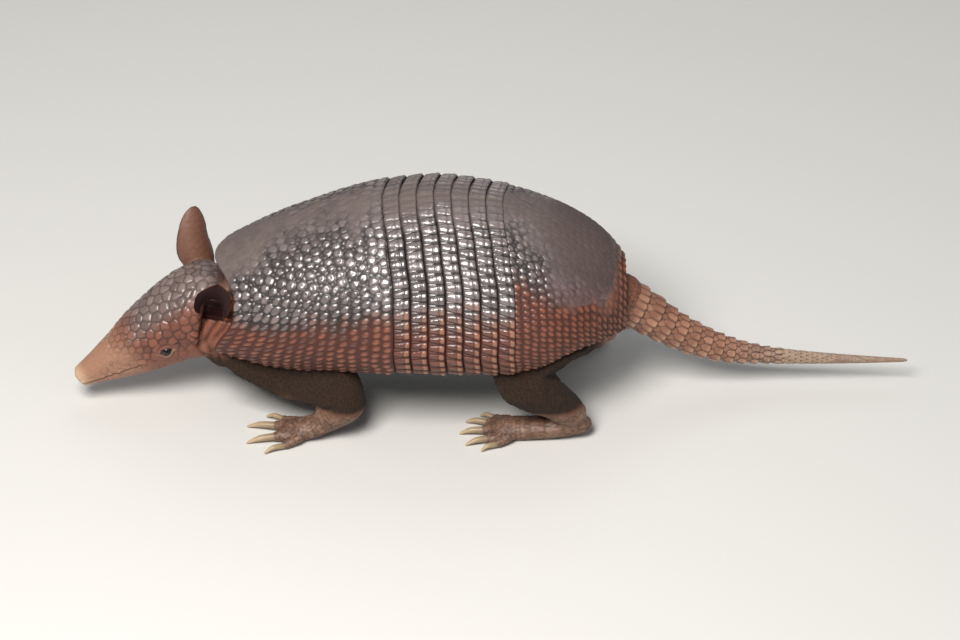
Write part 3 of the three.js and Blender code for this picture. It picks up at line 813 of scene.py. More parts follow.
def frame_along(points, t):
    """Centre, sideways and upward directions of a line at t."""
    small = 1e-4
    centre = line_through(points, t)
    ahead = line_through(points, np.minimum(t + small, 1))
    forward = unit(ahead - line_through(points, np.maximum(t - small, 0)))
    across = unit(np.array([0, 1, 0]) - forward * forward[..., [1]])
    return centre, across, np.cross(forward, across)


def tube_points(points, t, radius, turns, flat=1.0):
    """A grid of points round a line: a row for each t, a column for each angle in turns."""
    centre, across, up = frame_along(points, t)
    c, s = np.cos(turns)[None, :, None], np.sin(turns)[None, :, None] * flat
    return centre[:, None] + (across[:, None] * c + up[:, None] * s) * radius[..., None]


def tube_piece(name, grid, masks=None):
    """A closed tube from a grid of points whose last column joins its first."""
    rows, columns = grid.shape[:2]
    first = np.arange(columns)
    ends = [first, first[::-1] + (rows - 1) * columns]
    quads = grid_quads(rows, columns, wrap=True)
    kept = {key: values.ravel() for key, values in (masks or {}).items()}
    return new_piece(name, grid.reshape(-1, 3), quads, ends, kept)


# %% The tail's line
TAIL = np.array([
    # x, y, z, radius
    [66, 0, 54.5, 13.4],
    [79, 0, 46.6, 11.4],
    [93, 0, 36.4, 9.8],
    [106.5, 0.4, 28.8, 8.7],
    [122, 1, 22.6, 7],
    [139, 1.6, 19.2, 4.9],
    [155, 2, 17.4, 3.8],
    [172, 2.2, 16.3, 2.9],
    [190, 2.2, 15.6, 2.1],
    [214.9, 1.8, 15.3, 0.9],
])
dense = np.linspace(0, 1, 2001)
strides = np.linalg.norm(np.diff(line_through(TAIL[:, :3], dense), axis=0), axis=-1)
walked = np.concatenate([[0], np.cumsum(strides)])


def tail_t(distance):
    """The place t on the tail's line, from the distance walked along it."""
    return np.interp(distance, walked, dense)


def radius_at(stations, t):
    """The radius between stations, which are rows of x, y, z and radius."""
    return np.interp(t * (len(stations) - 1), np.arange(len(stations)), stations[:, 3])


print("the tail's line is", round(float(walked[-1]), 1), "mm long")

# %% Tail rings
TAIL_RINGS = 12
FIRST_RING = 9.8
RING_SHRINK = 0.955
RING_SCUTE = 4.4  # width of a rear scute


def tail_ring(number, start, length):
    """A ring with a front row of small scutes and a rear row of large ones with pale rounded ends."""
    rows, columns = 30, 200
    along = np.linspace(0, 1, rows)[:, None]
    turns = np.linspace(0, 2 * math.pi, columns, endpoint=False)
    overlap = min(0.9, 0.1 * length)
    t = tail_t(start + along[:, 0] * (length - GAP + overlap))
    radius = radius_at(TAIL, t)[:, None] + 0 * turns
    count = max(8, round(2 * math.pi * float(radius.mean()) / RING_SCUTE))
    turn = turns / (2 * math.pi) * count + 0.5 * (number % 2)
    rear_across = turn - np.floor(turn) - 0.5
    front_across = (turn + 0.5) - np.floor(turn + 0.5) - 0.5
    pitch = 2 * math.pi * radius / count
    split = 0.4 + 0.1 * np.cos(2 * math.pi * turn)  # the rear scutes' front ends are pointed
    rear = ramp(along, split, split + 0.05)
    rear_edge = (0.5 - np.abs(rear_across)) * pitch
    front_edge = (0.5 - np.abs(front_across)) * pitch
    side_edge = lerp(front_edge, rear_edge, rear)
    split_edge = np.abs(along - split) * length
    edge = np.minimum(side_edge, np.minimum(split_edge, 0.25 + along * length))
    dome = softened(eased(edge / 0.9))
    keel = ramp(along, 0.45, 0.95) * (1 - np.abs(rear_across) * 2)
    scallop = 1 - (np.abs(rear_across) * 2) ** 2.2
    flare = lerp(0.9, 1.0, along)
    out = radius * flare + 0.45 * dome * lerp(0.6, 1, rear) + 0.35 * keel - 0.45
    out = out - 1.3 * (1 - np.sqrt(eased((1 - along) * length / lerp(1.5, 0.55, scallop))))
    grid = tube_points(TAIL[:, :3], t, out, turns)
    tone = chance(np.floor(turn + 0.5 * (1 - rear)), number + rear, 31)
    tip = ramp(along, 0.6, 0.95) * scallop * rear * (0.65 - 0.35 * np.sin(turns))
    groove = softened(1 - ramp(edge, 0.05, 0.6))
    masks = {"groove": groove, "tone": tone, "strip": tip, "far": 0 * tone + number / 20}
    made = tube_piece(f"ring_{number}", grid, masks)
    made.data.materials.append(tail_material)
    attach(made, "root")
    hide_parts(f"tail_ring_{number}")
    return made


start = 0.0
rings = []
for number in range(1, TAIL_RINGS + 1):
    length = FIRST_RING * RING_SHRINK ** (number - 1)
    rings.append(tail_ring(number, start, length))
    start += length
print(len(rings), "tail rings end after", round(start, 1), "mm")

# %% [markdown]
# ## Scales of the tail's thin end
#
# Past the rings the scales are small, and every second row is set off by half a scale. Each is a low wedge:
# lowest where it comes out from under the scale before it, and highest at its free rear end. The rows get
# shorter as the tail gets thinner, so the row's number is a running sum of distance over row length.

# %% The tail's sheath
SCALES_ROUND = 10


def tail_sheath(start):
    end = walked[-1]
    rows, columns = 330, 64
    distance = np.linspace(start + 0.1, end - 0.05, rows)
    t = tail_t(distance)
    turns = np.linspace(0, 2 * math.pi, columns, endpoint=False)
    radius = radius_at(TAIL, t)[:, None] + 0 * turns
    length = np.clip(radius * 0.85, 1.5, 3.2)
    row = np.cumsum(np.concatenate([[0], np.diff(distance)])[:, None] / length, axis=0)
    turn = turns / (2 * math.pi) * SCALES_ROUND
    best = np.full(row.shape, 9.0)
    tone = np.zeros(row.shape)
    for step in (0, 1):
        line = np.floor(row) - step
        shifted = turn + 0.5 * (line % 2)
        across = np.abs(shifted - np.floor(shifted) - 0.5) * 2
        reach = row - line  # 0 at the scale's front, and past 1 where it lies over the next row
        free = reach / (1.5 - 0.75 * across**2)
        nearer = (free <= 1) & (step == 1) | (best > 8)
        best = np.where(nearer, np.clip(free, 0, 1), best)
        tone = np.where(nearer, chance(line, np.floor(shifted), 41), tone)
    lift = np.clip(radius * 0.1, 0.12, 0.45)
    nose = np.sqrt(np.clip((end - distance) / 2.0, 0, 1))[:, None]
    out = (radius - lift + lift * best) * nose + 0.02
    grid = tube_points(TAIL[:, :3], t, out, turns)
    groove = 1 - ramp(best, 0.0, 0.4)
    masks = {"groove": groove, "tone": tone, "strip": 0.7 * ramp(best, 0.7, 1.0), "far": 0.9 + 0 * row}
    made = tube_piece("tail_sheath", grid, masks)
    made.data.materials.append(tail_material)
    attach(made, "root")
    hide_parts("tail_tip")
    return made


sheath = tail_sheath(start)
print("tail sheath:", count_triangles(sheath), "triangles")

# %% [markdown]
# ## The head
#
# The head is worked out in its own frame: s runs from the nose back to the nape, and the angle is 0 on top.
# Its half width, height and depth are read from a few stations on a smooth curve, and the lower half is a
# squarer curve than the upper, as a jaw is. A turn in yaw, pitch and roll then sets it on the neck. It is
# lowered and turned a little to its left. The eyes stand where the frame has them.

# %% The head's frame
NOSE = np.array([-213.4, -14.0, 15.6])
HEAD_TURN = {"pitch": 30.5, "yaw": 12.0, "roll": 5.0}


def turn_matrix():
    angles = [math.radians(HEAD_TURN[key]) for key in ("roll", "pitch", "yaw")]
    cr, cp, cy = (math.cos(angle) for angle in angles)
    sr, sp, sy = (math.sin(angle) for angle in angles)
    about_x = np.array([[1, 0, 0], [0, cr, -sr], [0, sr, cr]])
    about_y = np.array([[cp, 0, -sp], [0, 1, 0], [sp, 0, cp]])
    about_z = np.array([[cy, -sy, 0], [sy, cy, 0], [0, 0, 1]])
    return about_z @ about_y @ about_x


HEAD_MATRIX = turn_matrix()


def from_head(points):
    return points @ HEAD_MATRIX.T + NOSE


def to_head(points):
    return (points - NOSE) @ HEAD_MATRIX


eye_low, eye_high = (np.array(corner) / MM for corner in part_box("eye_left"))
EYE_RADIUS = float((eye_high - eye_low).max()) / 2
EYES = {}
for side in ("left", "right"):
    corners = [np.array(corner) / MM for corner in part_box(f"eye_{side}")]
    EYES[side] = to_head(np.mean(corners, axis=0))
    print(side, "eye at", EYES[side].round(1).tolist(), "in the head's frame, radius", round(EYE_RADIUS, 2))

# %% The head's surface
HEAD_STATIONS = np.array([
    # s, half width, height above the axis, depth below it
    [0, 3.4, 2.6, 3.4],
    [2.5, 5.1, 4.4, 5.6],
    [12, 7.4, 6.6, 9.4],
    [24, 10.6, 9.8, 14.4],
    [38, 15, 13.8, 18.2],
    [52, 18.4, 16.6, 20.8],
    [68, 20.8, 18.6, 25],
    [82, 21.4, 17.8, 26.6],
    [93, 19, 14, 24],
])
HEAD_LENGTH = HEAD_STATIONS[-1, 0]
JAW_SQUARENESS = 2.7


def head_sizes(s):
    """Half width, height and depth at s, on a smooth curve through the stations."""
    places, values = HEAD_STATIONS[:, 0], HEAD_STATIONS[:, 1:]
    before = np.maximum(np.arange(len(places)) - 1, 0)
    after = np.minimum(np.arange(len(places)) + 1, len(places) - 1)
    slopes = (values[after] - values[before]) / (places[after] - places[before])[:, None]
    i = np.clip(np.searchsorted(places, s, side="right") - 1, 0, len(places) - 2)
    wide = (places[i + 1] - places[i])[..., None]
    w = np.clip((s - places[i])[..., None] / wide, 0, 1)
    found = values[i] * (2 * w**3 - 3 * w**2 + 1) + values[i + 1] * (3 * w**2 - 2 * w**3)
    found = found + wide * (slopes[i] * (w**3 - 2 * w**2 + w) + slopes[i + 1] * (w**3 - w**2))
    return found[..., 0], found[..., 1], found[..., 2]


def head_point(s, angle, inset):
    """A point of the head's surface, moved inward by inset."""
    half, up, down = head_sizes(s)
    c, side = np.cos(angle), np.sin(angle)
    square = (np.abs(c) ** JAW_SQUARENESS + np.abs(side) ** JAW_SQUARENESS) ** (-1 / JAW_SQUARENESS)
    reach = np.where(c > 0, 1.0, square)
    height = np.where(c > 0, up, down)
    return np.stack([s + 0 * angle, (half - inset) * side * reach, (height - inset) * c * reach], -1)


print("the head is", HEAD_LENGTH, "mm long from nose to nape")

# %% [markdown]
# ## The finishes of the head and the skin
#
# The skin's colours follow the masks: pinkish brown on the snout and paler at its tip, pale on the lower
# lids' rims as a painted highlight, red-brown on the cheeks, grey-brown on the scaly legs, dark brown where a
# thin coat covers the chest and belly, painted darker still there as painted shade under the shell, and a
# dark red-brown inside the ears that is painted shade. Every deep fold is darkened. The shield of the head
# has the same plates, grey-brown on top, and the two materials share the function that colours them.
#
# The coat is painted and bumped: a noise drawn out downward gives it streaks, and it takes away the gloss.

# %% Plates of the head
PLATE_TINTS = {
    "top": (tint(78, 64, 60), tint(130, 113, 107)),
    "cheek": (tint(74, 33, 22), tint(140, 82, 60)),
    "snout": tint(144, 101, 80),
    "groove": tint(48, 30, 24),
}


def head_colour(finish):
    """The colour of the head's plates, from the masks, and its fine noise."""
    cheek, tone = finish.mask("cheek"), finish.mask("tone")
    fine = finish.grain(1.3, 3, 0.6)
    top = finish.mix(*PLATE_TINTS["top"], tone * 0.6 + fine * 0.45)
    side = finish.mix(*PLATE_TINTS["cheek"], tone * 0.55 + fine * 0.5)
    return finish.mix(top, side, cheek), fine


def head_finish():
    horn = Finish("head_plates", Coat_Roughness=0.16)
    colour, fine = head_colour(horn)
    groove, snout = horn.mask("groove"), horn.mask("snout")
    colour = horn.mix(colour, PLATE_TINTS["snout"], horn.rise(snout, 0.25, 0.95))
    colour = horn.mix(colour, PLATE_TINTS["groove"], groove * 0.75)
    horn.feed("Base Color", colour)
    horn.feed("Roughness", 0.32 + fine * 0.18 + groove * 0.25)
    horn.feed("Coat Weight", (1 - groove) * 0.4)
    horn.bump(fine * 0.6 + horn.grain(0.4, 2) * 0.4, 0.07)
    return horn.material


head_material = head_finish()
print("head finish:", len(head_material.node_tree.nodes), "nodes")

# %% Skin
SKIN_TINTS = {
    "plain": (tint(98, 52, 37), tint(150, 91, 69)),
    "snout": (tint(130, 90, 70), tint(172, 130, 105)),
    # the coat's own dark brown, painted darker still as painted shade under the shell
    "shaded_coat": (tint(22, 11, 3), tint(50, 30, 12)),
    "leg": (tint(92, 66, 52), tint(134, 102, 82)),
    # the snout's pale tip, and the painted highlight on the lower lids' wet rims
    "tip": tint(196, 164, 134),
    "fold": tint(40, 22, 18),
    # painted shade inside the ears
    "ear_hollow_shade": tint(44, 6, 4),
}


def skin_finish():
    skin = Finish("armadillo_skin", Coat_Roughness=0.16)
    colour, fine = head_colour(skin)
    groove, scaly = skin.mask("groove"), skin.mask("scaly")
    fur, inside = skin.mask("fur"), skin.mask("inside")
    cloudy = skin.grain(14, 3)
    plain = skin.mix(*SKIN_TINTS["plain"], cloudy * 0.5 + fine * 0.5)
    colour = skin.mix(plain, colour, scaly)
    snout = skin.mix(*SKIN_TINTS["snout"], cloudy * 0.4 + fine * 0.6)
    colour = skin.mix(colour, snout, skin.rise(skin.mask("snout"), 0.25, 0.95))
    colour = skin.mix(colour, SKIN_TINTS["tip"], skin.mask("tip"))
    strands = skin.strands(0.6, 8.0)
    shaded_coat = skin.mix(*SKIN_TINTS["shaded_coat"], skin.rise(strands, 0.3, 0.75))
    colour = skin.mix(colour, shaded_coat, fur)
    leg = skin.mix(*SKIN_TINTS["leg"], skin.mask("tone") * 0.6 + fine * 0.4)
    colour = skin.mix(colour, leg, skin.mask("leg"))
    colour = skin.mix(colour, SKIN_TINTS["fold"], groove * 0.8)
    # painted shade inside the ears, by the inside mask
    colour = skin.mix(colour, SKIN_TINTS["ear_hollow_shade"], inside)
    skin.feed("Base Color", colour)
    skin.feed("Roughness", 0.4 + fine * 0.2 + groove * 0.2 + inside * 0.55 + fur * 0.5)
    skin.feed("Coat Weight", scaly * (1 - groove) * 0.35)
    skin.bump((fine * 0.5 + skin.cells(0.9) * 0.7) * (1 - fur * 0.7) + strands * fur * 1.3, 0.1)
    return skin.material


skin_material = skin_finish()
print("skin finish:", len(skin_material.node_tree.nodes), "nodes")

# %% [markdown]
# ## Plates of the head
#
# The head is covered with flat bony plates of uneven shape, largest on the forehead and smaller towards the
# snout and the cheeks. One set of seeds, scattered over the head's surface, serves both the shield on top
# and the skin beside it, so that the pattern runs on from one to the other.

# %% Seeds and their borders
def head_seeds():
    """Rings of seeds from the snout to the nape, each a little off its place."""
    seeds, s, row = [], 20.0, 0
    draw = np.random.default_rng(12)
    while s < 96:
        step = float(np.interp(s, [20, 40, 60, 80], [3.0, 4.6, 5.6, 4.8]))
        half, _, _ = head_sizes(np.array(s))
        count = max(6, round(2 * math.pi * float(half) / (step * 1.08)))
        angles = (np.arange(count) + 0.5 * (row % 2)) * 2 * math.pi / count
        angles = angles + draw.normal(0, 0.7 / count, count)
        places = s + draw.normal(0, 0.17 * step, count)
        seeds.append(head_point(places, angles, 0.0))
        s += step * 0.9
        row += 1
    return np.concatenate(seeds)


HEAD_SEEDS = head_seeds()
BATCH = 4000  # this many points are compared with all seeds at a time, to save memory


def head_plates(points):
    """Distance to the nearest border between plates, and a random tone for each plate."""
    border, tone = np.zeros(len(points)), np.zeros(len(points))
    for first in range(0, len(points), BATCH):
        part = points[first : first + BATCH]
        apart = np.linalg.norm(part[:, None] - HEAD_SEEDS[None], axis=-1)
        nearest = np.argsort(apart, axis=1)[:, :2]
        d1, d2 = (np.take_along_axis(apart, nearest[:, [n]], 1)[:, 0] for n in (0, 1))
        between_seeds = np.linalg.norm(HEAD_SEEDS[nearest[:, 0]] - HEAD_SEEDS[nearest[:, 1]], axis=-1)
        border[first : first + BATCH] = (d2**2 - d1**2) / (2 * between_seeds)
        tone[first : first + BATCH] = chance(nearest[:, 0], 1.0, 51)
    return border, tone


print(len(HEAD_SEEDS), "plates on the head")

SKIN_RELIEF = 0.62


def plate_dome(border):
    """Height of a plate, from 0 in the groove to 1 on its top."""
    return eased((border - 0.06) / 1.7) ** 0.8


def head_masks(s, angle):
    """Where the snout, its tip, the cheek and the horny plates are."""
    turn = np.abs(angle)
    start = 18 + 8 * ramp(turn, 0.6, 1.4)
    off_nape = np.maximum(ramp(s, 92, 84), ramp(turn, 1.5, 1.2))
    scaly = ramp(s, start, start + 18) * ramp(turn, 2.15, 1.6) * off_nape
    cheek = np.maximum(ramp(turn, 0.5, 1.1), ramp(s, 50, 32))
    return {"snout": ramp(s, 54, 20), "tip": ramp(s, 9, 0.5), "cheek": cheek, "scaly": scaly}


# %% [markdown]
# ## The shield of the head
#
# The shield is a slab again, laid over the forehead. Its middle stands a little proud of the skin, and its
# outline dips under the skin's level, so that no hard rim shows where the plates run on.

# %% Shield on top of the head
HEAD_SHIELD = {"from": 23.0, "to": 86.0, "half_width": 18.0, "thick": 1.6, "proud": 0.5}


def shield_reach(along):
    """The angle from the midline to the head shield's edge."""
    return 1.15 * np.sin(math.pi * (0.14 + 0.74 * along)) ** 0.8


def shield_outline(along, share):
    """s and angle of a point of the head shield."""
    s = lerp(HEAD_SHIELD["from"], HEAD_SHIELD["to"], along) + 5 * share**2 * (0.5 - along)
    return s, share * shield_reach(along)


def head_shield():
    rows, columns = 200, 160
    along, share = np.meshgrid(np.linspace(0, 1, rows), np.linspace(-1, 1, columns), indexing="ij")
    s, angle = shield_outline(along, share)
    ground = head_point(s, angle, 0.0)
    border, tone = head_plates(ground.reshape(-1, 3))
    border, tone = border.reshape(rows, columns), tone.reshape(rows, columns)
    long = HEAD_SHIELD["to"] - HEAD_SHIELD["from"]
    edge = np.minimum(np.minimum(along, 1 - along) * long, (1 - np.abs(share)) * HEAD_SHIELD["half_width"])
    dome = softened(plate_dome(border)) * ramp(s, 18, 42)
    rounded = eased(edge / 0.4)
    skin_level = SKIN_RELIEF * dome - 0.6
    out = lerp(skin_level - 0.45, 0.72 * dome - 0.3, ramp(edge, 0.0, 5.5)) - 0.12 * (1 - rounded)
    outer = head_point(s, angle, -out)
    inner_rows = np.array([0, 50, 100, 150, rows - 1])
    inner = head_point(s[inner_rows], angle[inner_rows], HEAD_SHIELD["thick"] - HEAD_SHIELD["proud"])
    groove = softened(1 - ramp(border, 0.05, 0.75)) * ramp(s, 14, 44)
    masks = {"groove": groove, "tone": tone, **head_masks(s, angle)}
    made = slab_piece("head_plate", from_head(outer), from_head(inner), inner_rows, masks)
    made.data.materials.append(head_material)
    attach(made, "root")
    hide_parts("head_shield")
    return made


plate_on_head = head_shield()
print("head shield:", count_triangles(plate_on_head), "triangles")

# %% [markdown]
# ## Skin of the head
#
# The head's skin is a grid of rings from the nose to the nape, with more rings and columns near the eyes,
# where the lids need them. The skin sinks a little under the shield. Round each eye it is pushed out to a
# ball slightly larger than the eye, which makes the lids, and inside an almond it dives under the eyeball,
# which opens them. The mouth is a groove below the widest line, with a fuller lip over it, and two pits in
# the nose's tip are the nostrils. A crease runs down behind each eye, and folds of loose skin cross the
# cheek behind the jaw.
#
# The ears come first, because their funnels press into this skin: it needs to know where they stand.

# %% Where the ears stand
EAR = {"s": 85.5, "side": 17.0, "up": 6.0, "length": 34.5, "width": 18.5, "wall": 1.1, "tilt": 4.0}
EAR_LEAN = {-1: 37.0, 1: 29.0}  # the left ear, on the -Y side, leans out further than the right one
EAR_TURN = 18.0
EAR_SUNK = np.array([0, 3.0, -4.0])  # the root's place, so that it sits in the head and not on it


def turned(points, axis, degrees):
    """Points turned about a coordinate axis."""
    a = math.radians(degrees)
    first, second = [(1, 2), (2, 0), (0, 1)][axis]
    made = points.copy()
    made[..., first] = points[..., first] * math.cos(a) - points[..., second] * math.sin(a)
    made[..., second] = points[..., first] * math.sin(a) + points[..., second] * math.cos(a)
    return made


def ear_to_head(points, side):
    """Points of an ear's own frame, with its tip at +Z and its opening towards -Y, in the head's frame."""
    points = points + EAR_SUNK
    points = turned(points, 2, -EAR_TURN)
    points = turned(points, 0, EAR_LEAN[side])
    points = turned(points, 1, HEAD_TURN["pitch"] - EAR["tilt"])
    points = points * np.array([1, -side, 1])
    return points + np.array([EAR["s"], side * EAR["side"], EAR["up"]])


def head_to_ear(points, side):
    points = (points - np.array([EAR["s"], side * EAR["side"], EAR["up"]])) * np.array([1, -side, 1])
    points = turned(points, 1, EAR["tilt"] - HEAD_TURN["pitch"])
    points = turned(points, 0, -EAR_LEAN[side])
    points = turned(points, 2, EAR_TURN)
    return points - EAR_SUNK


def hollowed(points):
    """Presses the bottom of each ear's funnel into the head, and marks where it gets painted shade."""
    inside = np.zeros(len(points))
    for side in (-1, 1):
        here = head_to_ear(points, side)
        x, y, z = here.T
        near = ramp(np.abs(x + 0.3), 6.4, 4.4) * ramp(z, -15.0, -10.5) * (y < -1.7) * (y > -24)
        floor_y = -1.9 - 0.75 * np.maximum(0, -z - 1)
        here[:, 1] = lerp(y, np.maximum(y, floor_y), near)
        points = lerp(points, ear_to_head(here, side), (near > 0).astype(float)[:, None])
        inside = np.maximum(inside, near)
    return points, inside


# %% Lids
EYE_SLIT = {"length": 2.9, "height": 1.45, "tilt": -4.0, "lid": 0.45, "raised": 0.6}


def pushed_lids(points, groove):
    """Moves points near each eye to make its lids. Also returns the grooves with the lids' creases in them,
    and a mask of the lower rims, which get a painted highlight of their wet edge."""
    lid_glint = 0 * groove
    for centre in EYES.values():
        away = points - centre
        sign = math.copysign(1, centre[1])
        distance = np.linalg.norm(away, axis=-1)
        near = ramp(distance, 8.0, 5.5) * (away[:, 1] * sign > -1.0)
        tilt = math.radians(EYE_SLIT["tilt"])
        a = away[:, 0] * math.cos(tilt) + away[:, 2] * math.sin(tilt)
        b = away[:, 2] * math.cos(tilt) - away[:, 0] * math.sin(tilt) - EYE_SLIT["raised"]
        height = np.where(b > 0, EYE_SLIT["height"] * 1.25, EYE_SLIT["height"] * 0.85)
        almond = np.sqrt((a / EYE_SLIT["length"]) ** 2 + (b / height) ** 2)
        almond = np.maximum(almond, np.abs(a) / EYE_SLIT["length"] * 1.02)
        lid = EYE_RADIUS + EYE_SLIT["lid"] + 0.35 * hump(almond, 0, 2.2)
        bulged = (distance**8 + lid**8) ** (1 / 8)
        crease = hump(almond, 2.25, 0.22) * np.where(b > 0, 1.0, 0.65) * ramp(np.abs(a), 4.6, 3.0)
        bulged = bulged - 0.4 * crease
        bulged = bulged + 0.15 * hump(almond, 1.2, 0.25)
        opened = lerp(EYE_RADIUS - 1.0, bulged, ramp(almond, 0.86, 1.06))
        moved = centre + away / distance[:, None] * opened[:, None]
        points = lerp(points, moved, near[:, None])
        groove = np.maximum(groove * (1 - near), near * (0.9 * crease + (1 - ramp(almond, 0.9, 1.15))))
        # the lower lids' wet rims get a painted highlight
        lid_glint = np.maximum(lid_glint, 0.5 * near * hump(almond, 1.35, 0.3) * ramp(b, 0.4, -0.6))
    return points, np.clip(groove, 0, 1), lid_glint


# %% Relief of mouth, snout and cheek
# Each function takes the height and the grooves so far, and returns them with its own part added.
EYE_S, EYE_SIDE, EYE_UP = EYES["left"]


def with_mouth(out, groove, s, ground):
    """A slit with a fuller lip over it. Also returns the height over the mouth's line."""
    down = head_sizes(s)[2]
    corner = 1 - ramp(s, 31, 38)
    mouth = -lerp(0.46, 0.27, s / 38) * down + 0.25 * noise(ground, 9.0, 3)
    off = ground[..., 2] - mouth
    slit = hump(off, 0, 0.42) * corner * ramp(s, 0.5, 2.0)
    lip = hump(off, 1.3, 0.9) * corner
    return out - 0.85 * slit + 0.22 * lip, np.maximum(groove, slit), off


def with_snout(out, groove, s, turn, ground, off, scaly):
    """Fine wrinkles, creased lips, and the small bumps that the whiskers grow from."""
    snout = ramp(s, 40, 22)
    wrinkle = noise(ground * np.array([1.9, 0.6, 0.6]), 2.6, 5) * ramp(turn, 0.5, 1.2)
    fine = noise(ground * np.array([1.0, 0.7, 0.7]), 1.5, 8)
    out = out + (0.16 * wrinkle + 0.07 * fine) * (0.5 + 0.5 * snout) * (1 - scaly)
    lips = hump(off, 0, 4.5) * ramp(s, 6, 16) * ramp(s, 46, 36)
    out = out + 0.26 * lips * noise(ground * np.array([1.0, 0.5, 0.4]), 2.6, 9)
    groove = np.maximum(groove, (1 - scaly) * ramp(-wrinkle, 0.35, 1.1) * 0.45 * ramp(s, 8, 20))
    whisker_bumps = np.clip(noise(ground, 1.9, 6), 0, 1) * snout * ramp(turn, 0.8, 1.5)
    return out + 0.12 * whisker_bumps, groove


def with_eye_crease(out, groove, s, ground):
    """A crease that runs down behind the eye, with a soft ridge after it."""
    up = ground[..., 2]
    behind_eye = s - EYE_S - 7.5 - 0.6 * (up - EYE_UP) + 0.5 * noise(ground, 6.0, 11)
    fold = hump(behind_eye, 0, 0.75) * ramp(up, EYE_UP + 7, EYE_UP + 3) * ramp(up, EYE_UP - 9, EYE_UP - 4)
    out = out - 0.55 * fold + 0.3 * hump(behind_eye, 2.0, 1.3) * ramp(up, EYE_UP + 7, EYE_UP + 2)
    return out, np.maximum(groove, 0.7 * fold)


def with_cheek_folds(out, groove, s, turn, ground):
    """Slanting folds behind the jaw, and a fuller throat under them."""
    slant = s + 0.28 * (ground[..., 2] + 6) + 1.2 * noise(ground, 16.0, 7)
    folds = ramp(s, 60, 67) * ramp(turn, 1.35, 1.7)
    ridge = np.cos(2 * math.pi * slant / 5.4)
    out = out + folds * (0.7 * ridge - 0.3) + 1.6 * ramp(s, 50, 72) * ramp(turn, 1.7, 2.4)
    return out, np.maximum(groove, folds * ramp(ridge, -0.45, -1.0) * 0.9)


# %% The head's skin
NOSTRIL = {"place": [0.2, 1.75, 0.1], "radius": 1.0, "depth": 1.5}
TIP_ROUNDING = 2.6


def crowded(low, high, count, spots):
    """count values from low to high, denser near the spots, each given as (place, width, weight)."""
    fine = np.linspace(low, high, 4000)
    weight = np.ones_like(fine)
    for place, width, extra in spots:
        weight += extra * hump(fine, place, width)
    travelled = np.cumsum(weight)
    travelled = (travelled - travelled[0]) / (travelled[-1] - travelled[0])
    return np.interp(np.linspace(0, 1, count), travelled, fine)


def head_skin():
    eye_angle = math.acos(EYE_UP / float(np.hypot(EYE_SIDE, EYE_UP)))
    s_line = crowded(0, HEAD_LENGTH, 164, [(EYE_S, 5.0, 2.6), (1.0, 2.5, 3.0), (12.0, 10.0, 0.6)])
    spots = []
    for place, width, weight in ((eye_angle, 0.24, 2.6), (0.62 * math.pi, 0.3, 0.5)):
        spots += [(place, width, weight), (-place, width, weight)]
    angle_line = crowded(-math.pi, math.pi, 191, spots)[:-1]
    s, angle = np.meshgrid(s_line, angle_line, indexing="ij")
    turn = np.abs(angle)
    ground = head_point(s, angle, 0.0)
    border, tone = head_plates(ground.reshape(-1, 3))
    border, tone = border.reshape(s.shape), tone.reshape(s.shape)

    marks = head_masks(s, angle)
    scaly = marks["scaly"]
    out = SKIN_RELIEF * plate_dome(border) * scaly - 0.6 * scaly - 0.02
    groove = scaly * (1 - ramp(border, 0.05, 0.9)) * 0.92

    first, last = HEAD_SHIELD["from"], HEAD_SHIELD["to"]
    along = np.clip((s - first) / (last - first), 0, 1)
    covered = ramp(shield_reach(along) - turn, 0.04, 0.26) * ramp(s, first + 0.8, first + 5)
    out = out - 1.0 * covered * ramp(last - s, 0.8, 5.0)  # the skin sinks under the shield

    out, groove, off = with_mouth(out, groove, s, ground)
    out, groove = with_snout(out, groove, s, turn, ground, off, scaly)
    out, groove = with_eye_crease(out, groove, s, ground)
    out, groove = with_cheek_folds(out, groove, s, turn, ground)
    out = out - 5.0 * np.clip((s - 87) / 6, 0, 1) ** 2  # the nape's end dips into the neck

    rounding = np.sqrt(eased((s + 0.02) / TIP_ROUNDING))
    points = head_point(s, angle, -out)
    points[..., 1:] = points[..., 1:] * rounding[..., None]
    points = points.reshape(-1, 3)
    groove = groove.ravel()
    for side in (-1, 1):
        middle = np.array(NOSTRIL["place"]) * [1, side, 1]
        pit = hump(np.linalg.norm(points - middle, axis=-1), 0, NOSTRIL["radius"])
        points[:, 0] += NOSTRIL["depth"] * pit
        groove = np.maximum(groove, pit)
    points, groove, lid_glint = pushed_lids(points, groove)
    # the lids' painted highlight shares the pale colour of the snout's tip
    marks["tip"] = np.maximum(marks["tip"], lid_glint.reshape(s.shape))
    points, inside = hollowed(points)
    masks = {"groove": groove.reshape(s.shape), "tone": tone, "inside": inside.reshape(s.shape)}
    masks |= {"fur": 0 * s, "leg": 0 * s, **marks}
    return tube_piece("head_skin", from_head(points).reshape(*s.shape, 3), masks)


head = head_skin()
print("head skin:", count_triangles(head), "triangles")

# %% [markdown]
# ## Ears
#
# An armadillo's ear is a leaf of leathery skin rolled into a funnel at its root. It is a slab that bends
# round its own long axis: tightly at the root, and less towards the rounded tip. The outside is pebbled and
# the inside is smooth, with painted shade in a dark red-brown. The two aren't twins: the right ear's root
# spreads to the rear, and the left ear's tip is blunter.

# %% The ears
OUTSIDE_INSET = 0.08  # the outside stays this far within the solid ear


